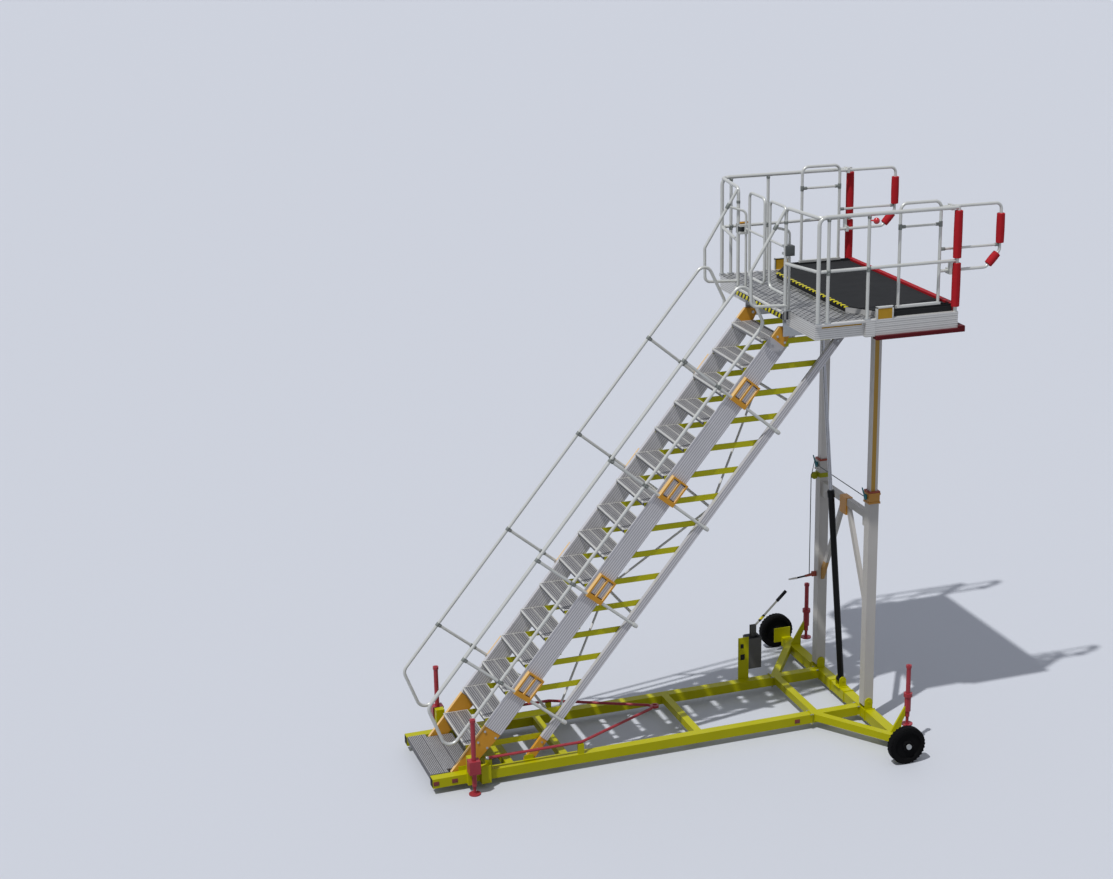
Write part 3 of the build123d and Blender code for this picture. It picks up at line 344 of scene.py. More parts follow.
# axle ends: painted plate, bare stub
axleLook = {"plateHalf": 1.521, "enamel": "#bab600"}
axleFinish = newFinish("axleEnd", dict(paints["zincPlate"], metallic=0.3))
axlePlate = zone(axleFinish, fromMiddle(axleFinish), high=axleLook["plateHalf"])
repaint(axleFinish, axlePlate, axleLook["enamel"])

# outer posts: the right collar is painted ochre
collarLook = {"height": 0.115, "colour": "#c08a3c"}
postLow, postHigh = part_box("outer_posts")
collarTop = postHigh.z
postMiddle = (postLow.x + postHigh.x) / 2
postFinish = newFinish("outerPost", paints["palePowderCoat"])
rightCollar = combine(postFinish, zone(postFinish, coord(postFinish, "Y"), high=0.0),
                      zone(postFinish, coord(postFinish, "Z"), low=collarTop - collarLook["height"]))
repaint(postFinish, rightCollar, collarLook["colour"])

# head beam of the posts: pale braces with an orange gusset, and an ochre foot on the left brace
headLook = {"gussetHalf": 0.0755, "gusset": "#dd9a35", "footTop": 1.47, "foot": "#b98a45"}
headBeam = newFinish("postHead", paints["palePowderCoat"])
gusset = zone(headBeam, fromMiddle(headBeam), high=headLook["gussetHalf"])
repaint(headBeam, gusset, headLook["gusset"])
braceFoot = combine(headBeam, zone(headBeam, coord(headBeam, "Z"), high=headLook["footTop"]),
                    zone(headBeam, coord(headBeam, "Y"), low=0.0))
repaint(headBeam, braceFoot, headLook["foot"])

# inner posts: an ochre strip on the faces that look away from the middle
stripLook = {"middle": -0.010, "half": 0.024, "outward": 0.3, "colour": "#ad8634"}
innerPost = newFinish("slidingPost", dict(paints["palePowderCoat"], metallic=0.2))
outward = combine(innerPost, along(innerPost, (0, 1, 0), "Normal"), coord(innerPost, "Y"))
outerFaces = zone(innerPost, outward, low=stripLook["outward"])
stripX = postMiddle + stripLook["middle"]
strip = zone(innerPost, coord(innerPost, "X"), stripX - stripLook["half"], stripX + stripLook["half"])
repaint(innerPost, combine(innerPost, outerFaces, strip), stripLook["colour"])

# rubber along the rear edge: painted shade makes it dark red below the side beam, and the rubber's own
# brighter red shows on the strip above the deck
edgingLook = {"from": -0.02, "colour": "#a3161f"}
edging = newFinish("bumperRubber", paints["darkRedRubber"])
upperStrip = zone(edging, coord(edging, "Z"), low=landingTop + edgingLook["from"])
repaint(edging, upperStrip, edgingLook["colour"])

# raised deck: rubber-faced tray with bare cut corners
cornerLook = {"slant": 0.2, "colour": "#b4b3b1"}
deckSheet = newFinish("deckSheet", paints["rubberMat"])
slanting = combine(deckSheet, along(deckSheet, (1, 0, 0), "Normal"), along(deckSheet, (0, 1, 0), "Normal"))
cutCorners = zone(deckSheet, unsigned(deckSheet, slanting), low=cornerLook["slant"])
repaint(deckSheet, cutCorners, cornerLook["colour"])

# hand pump: yellow back plate, grey tank, pale lever; places count from the pump's own corner
pumpLook = {"leverX": 0.2335, "lever": "#d5d2c6", "tankX": 0.2815, "tankTop": 0.631, "tank": "#545353",
            "plateX": 0.1255, "plateY": 0.0081, "plate": "#b5b100"}
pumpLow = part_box("hand_pump")[0]
pump = newFinish("handPump", paints["tankPaint"])
pumpX, pumpY, pumpZ = (coord(pump, axis) for axis in "XYZ")
repaint(pump, zone(pump, pumpX, low=pumpLow.x + pumpLook["leverX"]), pumpLook["lever"])
tankZone = combine(pump, zone(pump, pumpX, high=pumpLow.x + pumpLook["tankX"]),
                   zone(pump, pumpZ, high=pumpLook["tankTop"]))
repaint(pump, tankZone, pumpLook["tank"])
plateZone = combine(pump, zone(pump, pumpY, high=pumpLow.y + pumpLook["plateY"]),
                    zone(pump, pumpX, high=pumpLow.x + pumpLook["plateX"]))
repaint(pump, plateZone, pumpLook["plate"])
print("materials made:", len(finishes))


# helpers for shapes, and the roundings of edges that they take, in metres
fineEdge, slimEdge, smallEdge, softEdge, broadEdge, fullEdge = 0.001, 0.0015, 0.002, 0.003, 0.004, 0.005


def addBlock(bm, low, high, edge):
    low, high = Vector(low), Vector(high)
    place = Matrix.Translation((low + high) / 2) @ Matrix.Diagonal((*(high - low), 1.0))
    made = bmesh.ops.create_cube(bm, size=1.0, matrix=place)
    roundEdges(bm, {link for vert in made["verts"] for link in vert.link_edges}, edge)


def roundEdges(bm, edges, edge):
    if edge > 0:
        bmesh.ops.bevel(bm, geom=list(edges), offset=edge, offset_type="OFFSET", affect="EDGES", segments=2,
                        profile=0.5, material=-1)


def addRod(bm, start, end, radius, edge=0.0, segments=20, endRadius=None):
    start, end = Vector(start), Vector(end)
    turn = (end - start).to_track_quat("Z", "Y").to_matrix().to_4x4()
    made = bmesh.ops.create_cone(bm, cap_ends=True, segments=segments, radius1=radius,
                                 radius2=radius if endRadius is None else endRadius,
                                 depth=(end - start).length,
                                 matrix=Matrix.Translation((start + end) / 2) @ turn)
    caps = {face for vert in made["verts"] for face in vert.link_faces if len(face.verts) > 4}
    roundEdges(bm, {link for face in caps for link in face.edges}, edge)


def addPitchBlock(bm, start, end, off, y, depth, edge):
    # block along the pitch from start to end, off it by its middle line; y is a (low, high) pair
    turn = Matrix((climb, acrossY, square)).transposed().to_4x4()
    middle = stairPoint((start + end) / 2, off, (y[0] + y[1]) / 2)
    place = Matrix.Translation(middle) @ turn @ Matrix.Diagonal((end - start, y[1] - y[0], depth, 1.0))
    made = bmesh.ops.create_cube(bm, size=1.0, matrix=place)
    roundEdges(bm, {link for vert in made["verts"] for link in vert.link_edges}, edge)


def stairPoint(up, off, y):
    return stairFoot + climb * up + square * off + acrossY * y


def span(side, first, second, centre=0.0):
    # low and high of two distances from a centre, on one side of it
    return sorted((centre + side * first, centre + side * second))


def coat(mesh, finishName, sharpAngle):
    mesh.materials.append(finishes[finishName]["material"])
    mesh.polygons.foreach_set("use_smooth", [True] * len(mesh.polygons))
    mesh.set_sharp_from_angle(angle=math.radians(sharpAngle))


def finishPiece(bm, name, body, finishName, sharpAngle=35):
    bmesh.ops.recalc_face_normals(bm, faces=bm.faces)
    mesh = bpy.data.meshes.new(name)
    bm.to_mesh(mesh)
    bm.free()
    coat(mesh, finishName, sharpAngle)
    piece = bpy.data.objects.new(name, mesh)
    bpy.context.scene.collection.objects.link(piece)
    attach(piece, body)
    return piece


def blockPiece(name, body, finishName, low, high, edge):
    bm = bmesh.new()
    addBlock(bm, low, high, edge)
    finishPiece(bm, name, body, finishName)


def rodPiece(name, body, finishName, slotName, start, end, radius, edge, segments=20, endRadius=None):
    bm = bmesh.new()
    addRod(bm, start, end, radius, edge, segments, endRadius)
    finishPiece(bm, name, body, finishName)


# finishes of the carried-over nodes
nodeFinishes = {
    "chassis_rails": "yellowPowderCoat", "chassis_cross_members": "yellowPowderCoat",
    "axle_beam": "yellowPowderCoat", "axle_ends": "axleEnd", "jack_sleeves": "crimsonPowderCoat",
    "rail_fittings": "yellowPowderCoat", "front_step": "stepPlank", "stair_foot_pins": "yellowPowderCoat",
    "tow_bar": "crimsonPowderCoat", "hand_pump": "handPump", "stringers": "flutedProfile",
    "stringer_end_plates": "armEndPlate",
    "rail_clamps": "orangePowderCoat", "chords": "flutedProfile", "chord_end_plates": "chordEndPlate",
    "chord_lattice": "latticeTube", "platform_frame": "deckProfile", "platform_ears": "zincPlate",
    "landing_plate": "chequerPlate", "upper_deck": "deckSheet", "edge_bumpers": "bumperRubber",
    "rail_brackets": "ochrePaint", "outer_posts": "outerPost", "post_head": "postHead",
    "inner_posts": "slidingPost", "ram_barrel": "blackGlossPaint", "ram_rod": "chromedRod",
}
nodeSharpAngle = 30
for name, node in nodes.items():
    if name in nodeFinishes:
        chosen = nodeFinishes[name]
    elif name.startswith("tread"):
        chosen = "stepWithBars"
    elif name.startswith("wheel"):
        chosen = "tyreRubber"
    elif name.startswith("jack_leg"):
        chosen = "crimsonPowderCoat"
    elif "pads" in name:
        chosen = "redFoam"
    else:
        chosen = "anodisedTube"
    node.data.materials.clear()
    coat(node.data, chosen, nodeSharpAngle)
print("carried-over nodes finished")

# treads: two planks with a bright nosing, joint and ends, and ribs along the step
step = {"going": 0.255, "half": 0.399, "end": 0.4085, "endReach": 0.004, "overhang": 0.003,
        "nose": 0.013, "noseZ": (-0.015, 0.005), "rearNose": 0.010, "rearNoseZ": (-0.015, 0.006),
        "joint": 0.006, "jointZ": (-0.003, 0.005),
        "ribs": 5, "ribPitch": 0.0232, "ribWidth": 0.009, "ribGap": 0.004}
rib = {"sink": 0.002, "height": 0.004, "edge": slimEdge}


def addRib(bm, x, width, half, top):
    addBlock(bm, (x, -half, top - rib["sink"]), (x + width, half, top + rib["height"]), rib["edge"])


for name in sorted(key for key in nodes if key.startswith("tread")):
    low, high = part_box(name)
    half, top = step["half"], high.z
    front, rear = low.x - step["overhang"], low.x + step["going"] + step["overhang"]
    middle, halfJoint = (front + rear) / 2, step["joint"] / 2
    bars = ((front, front + step["nose"], step["noseZ"], broadEdge),
            (rear - step["rearNose"], rear, step["rearNoseZ"], softEdge),
            (middle - halfJoint, middle + halfJoint, step["jointZ"], fineEdge))
    bm = bmesh.new()
    for barFront, barRear, z, edge in bars:
        addBlock(bm, (barFront, -half, top + z[0]), (barRear, half, top + z[1]), edge)
    for side in sides.values():
        y = span(side, half, step["end"])
        addBlock(bm, (front, y[0], top - step["endReach"]), (rear, y[1], top + step["endReach"]), smallEdge)
    finishPiece(bm, "stepNose" + name[-3:], name, "noseBar")
    bm = bmesh.new()
    for plankStart in (front + step["nose"] + step["ribGap"], middle + halfJoint + step["ribGap"]):
        for index in range(step["ribs"]):
            addRib(bm, plankStart + index * step["ribPitch"], step["ribWidth"], half, top)
    finishPiece(bm, "stepRibs" + name[-3:], name, "stepRib")

# front step: ribs along each of its planks, shorter where the stringers' end plates stand beside it
frontStep = {"plankStarts": (0.0, 0.148, 0.306), "ribs": 8, "ribPitch": 0.0178, "ribWidth": 0.008,
             "ribGap": 0.006, "half": 0.468, "rearHalf": 0.394, "narrowFrom": 0.183}
stepLow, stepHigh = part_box("front_step")
bm = bmesh.new()
for plankStart in frontStep["plankStarts"]:
    for index in range(frontStep["ribs"]):
        x = stepLow.x + plankStart + frontStep["ribGap"] + index * frontStep["ribPitch"]
        half = frontStep["half"] if x < stepLow.x + frontStep["narrowFrom"] else frontStep["rearHalf"]
        addRib(bm, x, frontStep["ribWidth"], half, stepHigh.z)
finishPiece(bm, "frontStepRibs", "chassis", "stepRib")
print("steps dressed")

# stair handrails: collars where the stanchions meet the rails, and caps on their feet
stanchion = {"first": 0.971, "spacing": 1.225, "count": 4, "y": 0.495, "top": 0.755, "knee": 0.282,
             "foot": -0.600, "collar": 0.0198, "collarEnds": (-0.020, 0.020), "cap": 0.0195,
             "capEnds": (0.006, -0.008)}
sleeves = (("top", -0.016, -0.040), ("knee", -0.016, -0.038), ("knee", 0.016, 0.034))  # rail, start, end
stanchionUps = [stanchion["first"] + index * stanchion["spacing"] for index in range(stanchion["count"])]
bm, capBm = bmesh.new(), bmesh.new()
for side in sides.values():
    y = side * stanchion["y"]
    for up in stanchionUps:
        for rail, start, end in sleeves:
            addRod(bm, stairPoint(up, stanchion[rail] + start, y), stairPoint(up, stanchion[rail] + end, y),
                   stanchion["collar"], softEdge)
        for rail in ("top", "knee"):
            collarEnds = (stairPoint(up + end, stanchion[rail], y) for end in stanchion["collarEnds"])
            addRod(bm, *collarEnds, stanchion["collar"], smallEdge)
        capStart, capEnd = (stairPoint(up, stanchion["foot"] + off, y) for off in stanchion["capEnds"])
        addRod(capBm, capStart, capEnd, stanchion["cap"], broadEdge)
finishPiece(bm, "stairRailClamps", "stairs", "clampIron")
finishPiece(capBm, "stanchionCaps", "stairs", "whitePaint")

# profile seen through the windows of the rail clamps
window = {"start": 0.035, "end": 0.217, "offs": (-0.0595, 0.0315), "depth": 0.074, "y": (0.4905, 0.4985)}
bm = bmesh.new()
for side in sides.values():
    for up in stanchionUps:
        for off in window["offs"]:
            addPitchBlock(bm, up + window["start"], up + window["end"], off, span(side, *window["y"]),
                          window["depth"], fineEdge)
finishPiece(bm, "clampBacking", "stairs", "flutedProfile")

# bolts of the stringers' and chords' end plates: places up the pitch, and off it for the stringers
bolt = {"radius": 0.013, "chordRadius": 0.01105, "face": 0.460, "sink": 0.001, "height": 0.009,
        "foot": ((0.33, 0.06), (0.33, -0.06), (0.46, 0.07), (0.46, -0.07)),
        "belowHead": ((0.20, 0.06), (0.20, -0.06), (0.11, 0.055), (0.11, -0.05)),
        "chordFoot": (0.15, 0.23), "belowChordHead": (0.20, 0.12)}
boltPlaces = [*bolt["foot"], *((stairLength - down, off) for down, off in bolt["belowHead"])]
chordUps = [*bolt["chordFoot"], *(stairLength - down for down in bolt["belowChordHead"])]
chordFoot = Vector(joints["chord_pivot"]["pos_m"])
bm, chordBm = bmesh.new(), bmesh.new()
for side in sides.values():
    start, end = side * (bolt["face"] - bolt["sink"]), side * (bolt["face"] + bolt["height"])
    for up, off in boltPlaces:
        addRod(bm, stairPoint(up, off, start), stairPoint(up, off, end), bolt["radius"], segments=6)
    for up in chordUps:
        point = chordFoot + climb * up
        addRod(chordBm, point + acrossY * start, point + acrossY * end, bolt["chordRadius"], segments=6)
finishPiece(bm, "stringerBolts", "stairs", "zincPlate")
finishPiece(chordBm, "chordBolts", "chords", "zincPlate")

# cap of each pivot pin, on the rails' inner plates
pinCap = {"outer": 0.4137, "inner": 0.4085, "radius": 0.022}
bm = bmesh.new()
for side in sides.values():
    for point in (stairFoot, chordFoot):
        addRod(bm, (point.x, side * pinCap["outer"], stairFoot.z),
               (point.x, side * pinCap["inner"], stairFoot.z), pinCap["radius"], smallEdge)
finishPiece(bm, "pivotCaps", "chassis", "zincPlate")
print("stairs dressed")

# raised deck: rubber mat with cut front corners
deck = {"height": 0.050, "frontHalf": 0.840, "frontMargin": 0.028, "rearMargin": 0.008,
        "cornerMargin": 0.010, "cut": 0.204, "matHalf": 1.112, "matLift": 0.0002, "matThickness": 0.005}
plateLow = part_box("landing_plate")[0]
deckLow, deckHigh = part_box("upper_deck")
deckTop = landingTop + deck["height"]
deckFront, frontHalf, matHalf = deckLow.x, deck["frontHalf"], deck["matHalf"]
matFront, matCut = deckFront + deck["frontMargin"], deckFront + deck["cut"]
matRear = deckHigh.x - deck["rearMargin"]
matFrontHalf = frontHalf - deck["cornerMargin"]
outline = [(matFront, -matFrontHalf), (matFront, matFrontHalf), (matCut, matHalf),
           (matRear, matHalf), (matRear, -matHalf), (matCut, -matHalf)]
bm = bmesh.new()
sheet = bm.faces.new([bm.verts.new((x, y, deckTop + deck["matLift"])) for x, y in outline])
raised = bmesh.ops.extrude_face_region(bm, geom=[sheet])
lifted = [item for item in raised["geom"] if isinstance(item, bmesh.types.BMVert)]
bmesh.ops.translate(bm, verts=lifted, vec=(0, 0, deck["matThickness"]))
finishPiece(bm, "deckMat", "platform", "rubberMat")

# bars across the platform: front edge and level that their x and z count from, half length, rounding
crossBars = {
    "deckHazardStrip": {"finish": "hazardTape", "slot": "deck_rubber", "front": deckFront, "level": deckTop,
                        "half": frontHalf, "x": (-0.003, 0.032), "z": (-0.012, 0.006), "edge": smallEdge},
    "deckRiser": {"finish": "blackTrim", "slot": "deck_rubber", "front": deckFront, "level": landingTop,
                  "half": matFrontHalf, "x": (-0.003, 0.004), "z": (0.001, 0.037), "edge": fineEdge},
    "landingHazardStrip": {"finish": "hazardTape", "slot": "aluminium", "front": plateLow.x,
                           "level": plateLow.z, "half": 0.590, "x": (-0.004, 0.002), "z": (0.004, 0.050),
                           "edge": smallEdge},
    "landingNose": {"finish": "noseBar", "slot": "aluminium", "front": plateLow.x, "level": landingTop,
                    "half": 0.620, "x": (-0.006, 0.014), "z": (-0.020, 0.003), "edge": softEdge},
}
for name, bar in crossBars.items():
    (front, rear), (under, over) = bar["x"], bar["z"]
    blockPiece(name, "platform", bar["finish"],
               (bar["front"] + front, -bar["half"], bar["level"] + under),
               (bar["front"] + rear, bar["half"], bar["level"] + over), bar["edge"])

# ochre strip in the recess of each front side beam
beamStrip = {"x": (0.070, 0.500), "y": (1.2028, 1.208), "z": (-0.047, -0.031)}
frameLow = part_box("platform_frame")[0]
bm = bmesh.new()
for side in sides.values():
    y = span(side, *beamStrip["y"])
    addBlock(bm, (frameLow.x + beamStrip["x"][0], y[0], landingTop + beamStrip["z"][0]),
             (frameLow.x + beamStrip["x"][1], y[1], landingTop + beamStrip["z"][1]), fineEdge)
finishPiece(bm, "sideBeamStrip", "platform", "ochrePaint")

# pale frame round each bracket's outer face
bracketFrame = {"margin": 0.004, "lift": 0.0005, "depth": 0.030, "top": 0.018, "sides": 0.016}
bracketLow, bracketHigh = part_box("rail_brackets")
margin = bracketFrame["margin"]
front, rear = bracketLow.x - margin, bracketHigh.x + margin
bottom, top = bracketLow.z + bracketFrame["lift"], bracketHigh.z + margin
bm = bmesh.new()
for side in sides.values():
    y = span(side, bracketHigh.y - bracketFrame["depth"], bracketHigh.y + margin)
    addBlock(bm, (front, y[0], top - bracketFrame["top"]), (rear, y[1], top), smallEdge)
    addBlock(bm, (front, y[0], bottom), (front + bracketFrame["sides"], y[1], top), smallEdge)
    addBlock(bm, (rear - bracketFrame["sides"], y[0], bottom), (rear, y[1], top), smallEdge)
finishPiece(bm, "bracketFrames", "platform", "anodisedTube")
print("deck dressed")

# guard rails: clamps and post bases
guard = {"y": 1.210, "top": landingTop + 1.045, "knee": landingTop + 0.515, "front": frameLow.x + 0.020,
         "stanchions": (0.123, 0.553), "gatePostX": frameLow.x - 0.052, "gatePostY": 0.600}
clamp = {"radius": 0.0200, "half": 0.022, "belowTop": (-0.018, -0.044), "belowKnee": (-0.015, -0.038),
         "gateRadius": 0.0205, "belowGateTop": (-0.165, -0.135)}
# clamp half way up the slanting loop: its middle counts from the gate post's top
slopeClamp = {"x": -0.115, "z": -0.188, "y": 0.605, "way": (-0.366, 0.0, -0.588), "half": 0.030}
base = {"half": 0.024, "z": (0.0002, 0.010), "stanchion": (-0.032, 0.032), "front": (-0.020, 0.034),
        "gateX": (-0.020, 0.060), "gateHalf": 0.020, "gateZ": (0.0035, 0.014)}
bm, baseBm = bmesh.new(), bmesh.new()
for side in sides.values():
    y = side * guard["y"]
    for distance in guard["stanchions"]:
        x = frameLow.x + distance
        for level, (start, end) in ((guard["top"], clamp["belowTop"]), (guard["knee"], clamp["belowKnee"])):
            addRod(bm, (x, y, level + start), (x, y, level + end), clamp["radius"], softEdge)
        addRod(bm, (x - clamp["half"], y, guard["knee"]), (x + clamp["half"], y, guard["knee"]),
               clamp["radius"], smallEdge)
    gatePostX, gatePostY = guard["gatePostX"], side * guard["gatePostY"]
    # each base: middle, range along X, half width, and range upwards
    bases = [(frameLow.x + distance, y, base["stanchion"], base["half"], base["z"])
             for distance in guard["stanchions"]]
    bases += [(guard["front"], y, base["front"], base["half"], base["z"]),
              (gatePostX, gatePostY, base["gateX"], base["gateHalf"], base["gateZ"])]
    for x, middleY, (front, rear), half, (under, over) in bases:
        addBlock(baseBm, (x + front, middleY - half, landingTop + under),
                 (x + rear, middleY + half, landingTop + over), smallEdge)
    start, end = ((gatePostX, gatePostY, guard["top"] + off) for off in clamp["belowGateTop"])
    addRod(bm, start, end, clamp["gateRadius"], softEdge)
    middle = Vector((gatePostX + slopeClamp["x"], side * slopeClamp["y"], guard["top"] + slopeClamp["z"]))
    reach = Vector(slopeClamp["way"]).normalized() * slopeClamp["half"]
    addRod(bm, middle - reach, middle + reach, clamp["gateRadius"], softEdge)
finishPiece(bm, "guardRailClamps", "platform", "clampIron")
finishPiece(baseBm, "guardRailBases", "platform", "zincPlate")

# gates: hinge blocks with two bolts each, and the release lever on the left one
hinge = {"x": (-0.077, 0.018), "y": (0.5755, 0.637), "z": (-0.052, 0.050), "boltY": 0.606,
         "boltX": (-0.030, 0.026), "boltLevels": (-0.032, 0.030), "boltRadius": 0.009}
gatePivot = Vector(joints["gate_left_swing"]["pos_m"])
gateX, gateZ = gatePivot.x, gatePivot.z
bm = bmesh.new()
for side in sides.values():
    y = span(side, *hinge["y"])
    addBlock(bm, (gateX + hinge["x"][0], y[0], gateZ + hinge["z"][0]),
             (gateX + hinge["x"][1], y[1], gateZ + hinge["z"][1]), broadEdge)
    for level in hinge["boltLevels"]:
        start, end = ((gateX + x, side * hinge["boltY"], gateZ + level) for x in hinge["boltX"])
        addRod(bm, start, end, hinge["boltRadius"], segments=6)
finishPiece(bm, "gateHingeBlocks", "platform", "blockIron")
gateLever = {"x": (-0.060, 0.070), "y": (0.585, 0.612), "z": (0.0505, 0.068)}
leverLow, leverHigh = (Vector((gateX, 0.0, gateZ)) + Vector(corner) for corner in zip(*gateLever.values()))
blockPiece("gateLatchLever", "platform", "orangePowderCoat", leverLow, leverHigh, broadEdge)

# red knob of the sliding rail's catch, outside the near stanchion
knob = {"drop": 0.060, "radius": 0.032, "stem": 0.008, "stemFrom": 0.010, "stemTo": 0.034, "middle": 0.050}
catch = Vector((frameLow.x + guard["stanchions"][1], -guard["y"], guard["top"] - knob["drop"]))
outwards = Vector((1.0, -1.0, 0.0))
bm = bmesh.new()
addRod(bm, catch + outwards * knob["stemFrom"], catch + outwards * knob["stemTo"], knob["stem"], segments=16)
bmesh.ops.create_uvsphere(bm, u_segments=20, v_segments=12, radius=knob["radius"],
                          matrix=Matrix.Translation(catch + outwards * knob["middle"]))
finishPiece(bm, "guardKnob", "platform", "redKnob")
print("guard rails dressed")

# foam pads on the rear posts and on the sliding loops
foam = {"segments": 32, "crown": 0.0020, "slit": 0.0040, "lip": 0.008, "lipRise": 0.0028, "rim": 0.002,
        "rows": 7, "postHole": 0.0203, "post": 0.0437, "loopHole": 0.0163, "loop": 0.0427, "weld": 0.00005,
        "kneeGap": 0.025, "deckGap": 0.0005}


def addFoamTube(bm, start, end, hole, outer, slitAngle):
    # spun profile with soft rims, slightly fuller in the middle, and a slit along its length
    start, end = Vector(start), Vector(end)
    length = (end - start).length
    lip, lipRise, crown, rim = foam["lip"], foam["lipRise"], foam["crown"], foam["rim"]
    rows = [(hole, 0.0), (outer - lip, 0.0), (outer - rim, lipRise), (outer - crown, lip)]
    for index in range(1, foam["rows"]):
        share = index / foam["rows"]
        bulge = crown * (1 - math.sin(math.pi * share))
        rows.append((outer - bulge, lip + (length - 2 * lip) * share))
    rows += [(outer - crown, length - lip), (outer - rim, length - lipRise), (outer - lip, length),
             (hole, length)]
    before = set(bm.verts)
    chain = [bm.verts.new((radius, 0, height)) for radius, height in rows]
    edges = [bm.edges.new(pair) for pair in zip(chain, chain[1:])]
    edges.append(bm.edges.new((chain[-1], chain[0])))
    bmesh.ops.spin(bm, geom=chain + edges, cent=(0, 0, 0), axis=(0, 0, 1), angle=math.tau,
                   steps=foam["segments"], use_merge=True)
    bmesh.ops.remove_doubles(bm, verts=[vert for vert in bm.verts if vert not in before], dist=foam["weld"])
    fresh = [vert for vert in bm.verts if vert not in before]
    for vert in fresh:
        angle = math.atan2(vert.co.y, vert.co.x)
        beside = abs(angle - slitAngle) < math.pi / foam["segments"]
        if beside and vert.co.xy.length > outer - foam["slit"]:
            vert.co.xy *= 1 - foam["slit"] / outer
    turn = (end - start).to_track_quat("Z", "Y").to_matrix().to_4x4()
    bmesh.ops.transform(bm, matrix=Matrix.Translation(start) @ turn, verts=fresh)


padLow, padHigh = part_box("guard_pads")
postX = (padLow.x + padHigh.x) / 2
padSpans = ((deckTop + foam["deckGap"], guard["knee"] - foam["kneeGap"]),
            (guard["knee"] + foam["kneeGap"], padHigh.z))
bm = bmesh.new()
for side in sides.values():
    y = side * guard["y"]
    for low, high in padSpans:
        addFoamTube(bm, (postX, y, low), (postX, y, high), foam["postHole"], foam["post"],
                    -side * math.pi / 2)
piece = finishPiece(bm, "rearPostFoam", "platform", "redFoam", sharpAngle=50)
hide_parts("guard_pads")

loopEnd = {"inset": 0.043, "padLength": 0.298, "cornerDrop": 0.640, "slant": (0.150, 0.0, 0.160),
           "slantPad": (0.17, 0.83)}
for sideName, side in sides.items():
    node = "loop_pads_" + sideName.lower()
    low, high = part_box(node)
    y = (low.y + high.y) / 2
    endX = high.x - loopEnd["inset"]
    slant = Vector(loopEnd["slant"])
    corner = Vector((endX - slant.x, y, guard["top"] - loopEnd["cornerDrop"]))
    slantPad = [corner + slant * share for share in loopEnd["slantPad"]]
    bm = bmesh.new()
    for start, end in (((endX, y, high.z - loopEnd["padLength"]), (endX, y, high.z)), slantPad):
        addFoamTube(bm, start, end, foam["loopHole"], foam["loop"], -side * math.pi / 2)
    body = "extension_" + sideName.lower()
    piece = finishPiece(bm, "loopFoam" + sideName, body, "redFoam", sharpAngle=50)
    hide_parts(node)

# sliding rails: clamps at the cross bars
slider = {"hoopFront": 0.020, "hoopWidth": 0.445, "endInset": 0.016, "bar": 0.165, "lowBar": 0.420,
          "clampSpan": (0.013, 0.055), "clamp": 0.0175, "sleeveHalf": 0.028, "sleeve": 0.0195}
highBar, lowBar = guard["top"] - slider["bar"], guard["top"] - slider["lowBar"]
for sideName in sides:
    low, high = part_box("extension_rail_" + sideName.lower())
    y = (low.y + high.y) / 2
    hoopFront = low.x + slider["hoopFront"]
    hoopBack = hoopFront + slider["hoopWidth"]
    bm = bmesh.new()
    for x in (hoopFront, hoopBack):
        addRod(bm, (x, y, highBar - slider["sleeveHalf"]), (x, y, highBar + slider["sleeveHalf"]),
               slider["sleeve"], smallEdge)
    # each clamp on a cross bar: the upright it starts from, which way it lies, and its level
    clamps = ((hoopFront, 1, highBar), (hoopBack, -1, highBar), (hoopBack, 1, lowBar),
              (high.x - slider["endInset"], -1, lowBar))
    for x, toward, level in clamps:
        start, end = ((x + toward * distance, y, level) for distance in slider["clampSpan"])
        addRod(bm, start, end, slider["clamp"], smallEdge)
    body = "extension_" + sideName.lower()
    finishPiece(bm, "slidingRailClamps" + sideName, body, "clampIron")
print("foam and sliding rails dressed")

# posts: a ring and a latch on each collar
ring = {"inner": 0.0430, "outer": 0.0640, "lift": 0.0003, "height": 0.019}
latch = {"front": -0.067, "x": (-0.020, 0.001), "half": 0.022, "z": (-0.075, -0.020),
         "pinFrom": (-0.012, -0.060), "pinTo": (-0.050, 0.060), "pin": 0.010, "pinEnd": 0.007}
postY = guard["gatePostY"]  # the posts stand in line with the gate posts
ringBm, latchBm = bmesh.new(), bmesh.new()
for side in sides.values():
    y = side * postY
    low, high = collarTop + ring["lift"], collarTop + ring["height"]
    for reach in (-1, 1):
        x = span(reach, ring["inner"], ring["outer"], postMiddle)
        addBlock(ringBm, (x[0], y - ring["outer"], low), (x[1], y + ring["outer"], high), softEdge)
        across = span(reach, ring["inner"], ring["outer"], y)
        addBlock(ringBm, (postMiddle - ring["inner"], across[0], low),
                 (postMiddle + ring["inner"], across[1], high), softEdge)
    front = postMiddle + latch["front"]
    addBlock(latchBm, (front + latch["x"][0], y - latch["half"], collarTop + latch["z"][0]),
             (front + latch["x"][1], y + latch["half"], collarTop + latch["z"][1]), broadEdge)
    pinFrom, pinTo = ((front + x, y, collarTop + z) for x, z in (latch["pinFrom"], latch["pinTo"]))
    addRod(latchBm, pinFrom, pinTo, latch["pin"], softEdge, segments=16, endRadius=latch["pinEnd"])
finishPiece(ringBm, "collarRings", "posts", "brickRedPaint")
finishPiece(latchBm, "collarLatches", "posts", "tealPaint")

